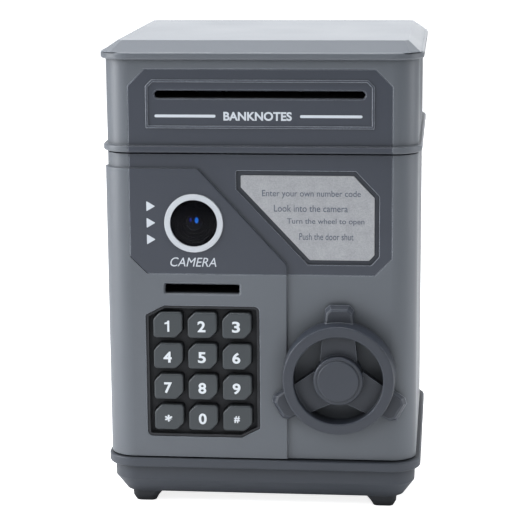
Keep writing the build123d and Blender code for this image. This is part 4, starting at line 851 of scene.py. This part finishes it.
def screw(name, place, head_radius, head_height, shank_radius, shank_length, out_sign, axis, body):
    """Pan-head screw: out_sign is the way its head faces along the axis.

    Head height at radius r is head_height times 0.35 plus 0.65 times the square root of 1 minus
    (0.86 r / head_radius) squared, less the depth of the cross, which fades over its edge by a
    smooth step.
    """
    radius = np.concatenate((np.linspace(0, 1, 22), (1.0, 1.0)))[:, None] * head_radius
    angle = np.linspace(0, 2 * np.pi, 64, endpoint=False)[None, :]
    x, y = radius * np.cos(angle), radius * np.sin(angle)
    curve = np.sqrt(1 - (0.86 * radius / head_radius) ** 2)
    arm = np.minimum(np.abs(x), np.abs(y)) / (0.16 * head_radius)
    reach = np.maximum(np.abs(x), np.abs(y)) / (0.62 * head_radius)
    inside = np.clip((1.25 - arm) / 0.4, 0, 1) * np.clip((1.1 - reach) / 0.25, 0, 1)
    cross = 0.6 * inside * inside * (3 - 2 * inside)
    top = head_height * (0.35 + 0.65 * curve - cross)
    top[-2:] = 0.0
    shank = [(shank_radius, 0.0)]
    turns = max(2, int(shank_length / SCREW_PITCH))
    for turn in range(turns):
        depth = shank_length * (turn + 0.5) / turns
        taper = 1.0 if turn < turns - 2 else 0.6
        shank += [(shank_radius * 0.78 * taper, -depth + 0.2 * MM), (shank_radius * taper, -depth)]
    shank = np.array(shank + [(0.0, -shank_length)])
    first = np.concatenate((x, shank[:, :1] * np.cos(angle)))
    second = np.concatenate((y, shank[:, :1] * np.sin(angle)))
    rise = np.concatenate((top, shank[:, 1:] + 0 * angle)) * out_sign
    order = (first, second, rise) if axis == "Z" else (first, rise, second)
    points = np.stack(order, axis=-1) + np.array(place)
    return add_piece(name, points, grid_faces(len(points), angle.size), body, FINISHES["steel"],
                     smooth=False)


# %% Base screws
HEAD_RADIUS, HEAD_HEIGHT, SHANK_RADIUS = 2.6 * MM, 1.6 * MM, 1.2 * MM
screws_low, screws_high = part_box("base_screws")
seat_z = screws_low.z + HEAD_HEIGHT
shank_length = screws_high.z - seat_z
plain_screws = nodes["base_screws"].data
corners = np.zeros(len(plain_screws.vertices) * 3)
plain_screws.vertices.foreach_get("co", corners)
corners = corners.reshape(-1, 3)
base_screws = []
for x_sign in (-1, 1):
    near_side = corners[np.sign(corners[:, 0]) == x_sign]
    screw_x = x_sign * (np.abs(near_side[:, 0]).max() - HEAD_RADIUS)
    for screw_y in (near_side[:, 1].min() + HEAD_RADIUS, near_side[:, 1].max() - HEAD_RADIUS):
        base_screws.append(screw(f"base_screw_{len(base_screws)}", (screw_x, screw_y, seat_z), HEAD_RADIUS,
                                 HEAD_HEIGHT, SHANK_RADIUS, shank_length, -1, "Z", "housing"))
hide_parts("base_screws")
print("base screws:", len(base_screws))

# %% Liner screws
LINER_INSET = 6.0 * MM
liner_low, liner_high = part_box("door_liner")
liner_places = [(x, z) for x in (liner_low.x + LINER_INSET, liner_high.x - LINER_INSET)
                for z in (liner_low.z + LINER_INSET, liner_high.z - LINER_INSET)]
for number, (x, z) in enumerate(liner_places):
    screw(f"liner_screw_{number}", (x, liner_high.y, z), 2.3 * MM, 1.2 * MM, 1.0 * MM, 4.0 * MM,
          1, "Y", "door")
print("liner screws:", len(liner_places))

# %% [markdown]
# ## Cell springs, wires and parts on the board
#
# The cells are held by small conical springs, whose radius shrinks while the wire climbs. Inside
# the top compartment the control board carries upright capacitors, and a pair of wires runs from
# it to the note motor in one relaxed curve. A wire's path here is a cubic curve between two ends
# with a direction at each.

# %% Springs
SPRING_TURNS, SPRING_WIRE = 3.5, 0.28 * MM
SPRING_FOOT, SPRING_NARROWING = 3.4 * MM, 1.4 * MM
SPRING_TIP = 24.6 * MM
cells_low, cells_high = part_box("battery_cells")
contacts_low, contacts_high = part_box("battery_contacts")
cell_radius = (cells_high.z - cells_low.z) / 2
cell_z = (cells_high.z + cells_low.z) / 2
pitch = (cells_high.y - cells_low.y - 2 * cell_radius) / 2
t = np.linspace(0, 1, 90)
swirl = 2 * np.pi * SPRING_TURNS * t
coil = SPRING_FOOT - SPRING_NARROWING * t
for number in range(3):
    y = cells_low.y + cell_radius + number * pitch
    side = 1 if number % 2 else -1
    foot_x = contacts_high.x - 2.0 * MM if side > 0 else contacts_low.x + 2.0 * MM
    path = np.column_stack((foot_x + (side * SPRING_TIP - foot_x) * t, y + coil * np.cos(swirl),
                            cell_z + coil * np.sin(swirl)))
    points, faces = tube_along(path, SPRING_WIRE, 8)
    add_piece(f"cell_spring_{number}", points, faces, "housing", FINISHES["plated_steel"])

# %% Capacitors on the control board
# each one's place across the board, its radius and its height, in millimetres
CAPACITORS = ((-31.0, 3.1, 8.0), (-12.0, 2.5, 6.5), (13.5, 3.1, 8.0), (33.0, 2.0, 5.0))
board_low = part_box("main_board")[0]
can_finish = moulded("can_sleeve", (0.02, 0.03, 0.07), 0.3, unevenness=0.05, grain_height=0.1,
                     rub=0.05, radius=0.2)
for number, capacitor in enumerate(CAPACITORS):
    x, r, h = np.array(capacitor) * MM
    y, z = board_low.y + 1.4 * MM, board_low.z + 15.0 * MM
    can = [(0.0, y - h + 0.3 * MM), (r * 0.72, y - h + 0.3 * MM), (r * 0.78, y - h), (r * 0.92, y - h),
           (r, y - h + 0.4 * MM), (r, y - 1.5 * MM), (r * 0.93, y - 1.2 * MM), (r, y - 0.9 * MM),
           (r, y), (0.0, y)]
    points, faces = revolved(can, (x, 0.0, z), 36)
    add_piece(f"capacitor_{number}", points, faces, "housing", can_finish, smooth=False)

# %% Motor wires
WIRE_RADIUS = 0.55 * MM
# each wire's colour, and how far it lies from the motor's middle, in millimetres
WIRES = (((0.42, 0.02, 0.02), 1.5), ((0.02, 0.02, 0.022), -1.5))
motor_low, motor_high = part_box("feed_motor")
motor_y, motor_z = (motor_low.y + motor_high.y) / 2, (motor_low.z + motor_high.z) / 2
t = np.linspace(0, 1, 40)[:, None]
for number, (colour, lift) in enumerate(WIRES):
    insulation = moulded(f"wire_{number}", colour, 0.36, grain_height=0.1, rub=0.0, radius=0.1)
    start = np.array((motor_low.x + 0.8 * MM, motor_y, motor_z + lift * MM))
    end = np.array((6.0 * MM + lift * MM, board_low.y + 1.3 * MM, board_low.z + 4.0 * MM))
    leave = start + (-12.0 * MM, 0.0, -1.0 * MM)
    arrive = end + (0.0, -26.0 * MM, 0.0)
    path = (1 - t) ** 3 * start + 3 * t * (1 - t) ** 2 * leave + 3 * t ** 2 * (1 - t) * arrive + t ** 3 * end
    points, faces = tube_along(path, WIRE_RADIUS, 10)
    add_piece(f"motor_wire_{number}", points, faces, "housing", insulation)
print("inside: 3 springs,", len(CAPACITORS), "capacitors,", len(WIRES), "wires")

# %% [markdown]
# ## The floor
#
# The tent's floor is a white board, far larger than the toy. It is worked out as a disc whose
# rings grow towards its edge, and its material is only uneven enough not to be a flat colour.
# It glows for the camera alone, so it reads white without throwing more light up at the toy.

# %% Floor
FLOOR_RADIUS, FLOOR_Z = 5.0, -0.2 * MM
FLOOR_GLOW = 0.95
rings = np.linspace(0, 1, 16) ** 2 * FLOOR_RADIUS
points, faces = revolved([(r, FLOOR_Z) for r in rings], (0.0, 0.0, 0.0), 64, axis="Z")
board_mesh = bpy.data.meshes.new("floor_board")
board_mesh.from_pydata(points.reshape(-1, 3).tolist(), [], faces.tolist())
floor_material, tree, shader = start_material("white_board")
paper = add_node(tree, "ShaderNodeTexNoise", Vector=object_place(tree), Scale=6.0, Detail=2.0)
white = blend_colours(tree, paper.outputs["Fac"], (0.86, 0.86, 0.86, 1.0), (0.89, 0.89, 0.89, 1.0))
eye = add_node(tree, "ShaderNodeLightPath").outputs["Is Camera Ray"]
feed(tree, shader, Base_Color=white, Emission_Color=white, Roughness=0.8, Specular_IOR_Level=0.1,
     Emission_Strength=math_node(tree, "MULTIPLY", eye, FLOOR_GLOW))
board_mesh.materials.append(floor_material)
floor = bpy.data.objects.new("floor_board", board_mesh)
bpy.context.scene.collection.objects.link(floor)
floor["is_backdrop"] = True
print("floor:", FLOOR_RADIUS * 2, "m across")

# %% Write the sizes and finish
low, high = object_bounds()
print("size, mm:", [round((b - a) / MM, 1) for a, b in zip(low, high)])
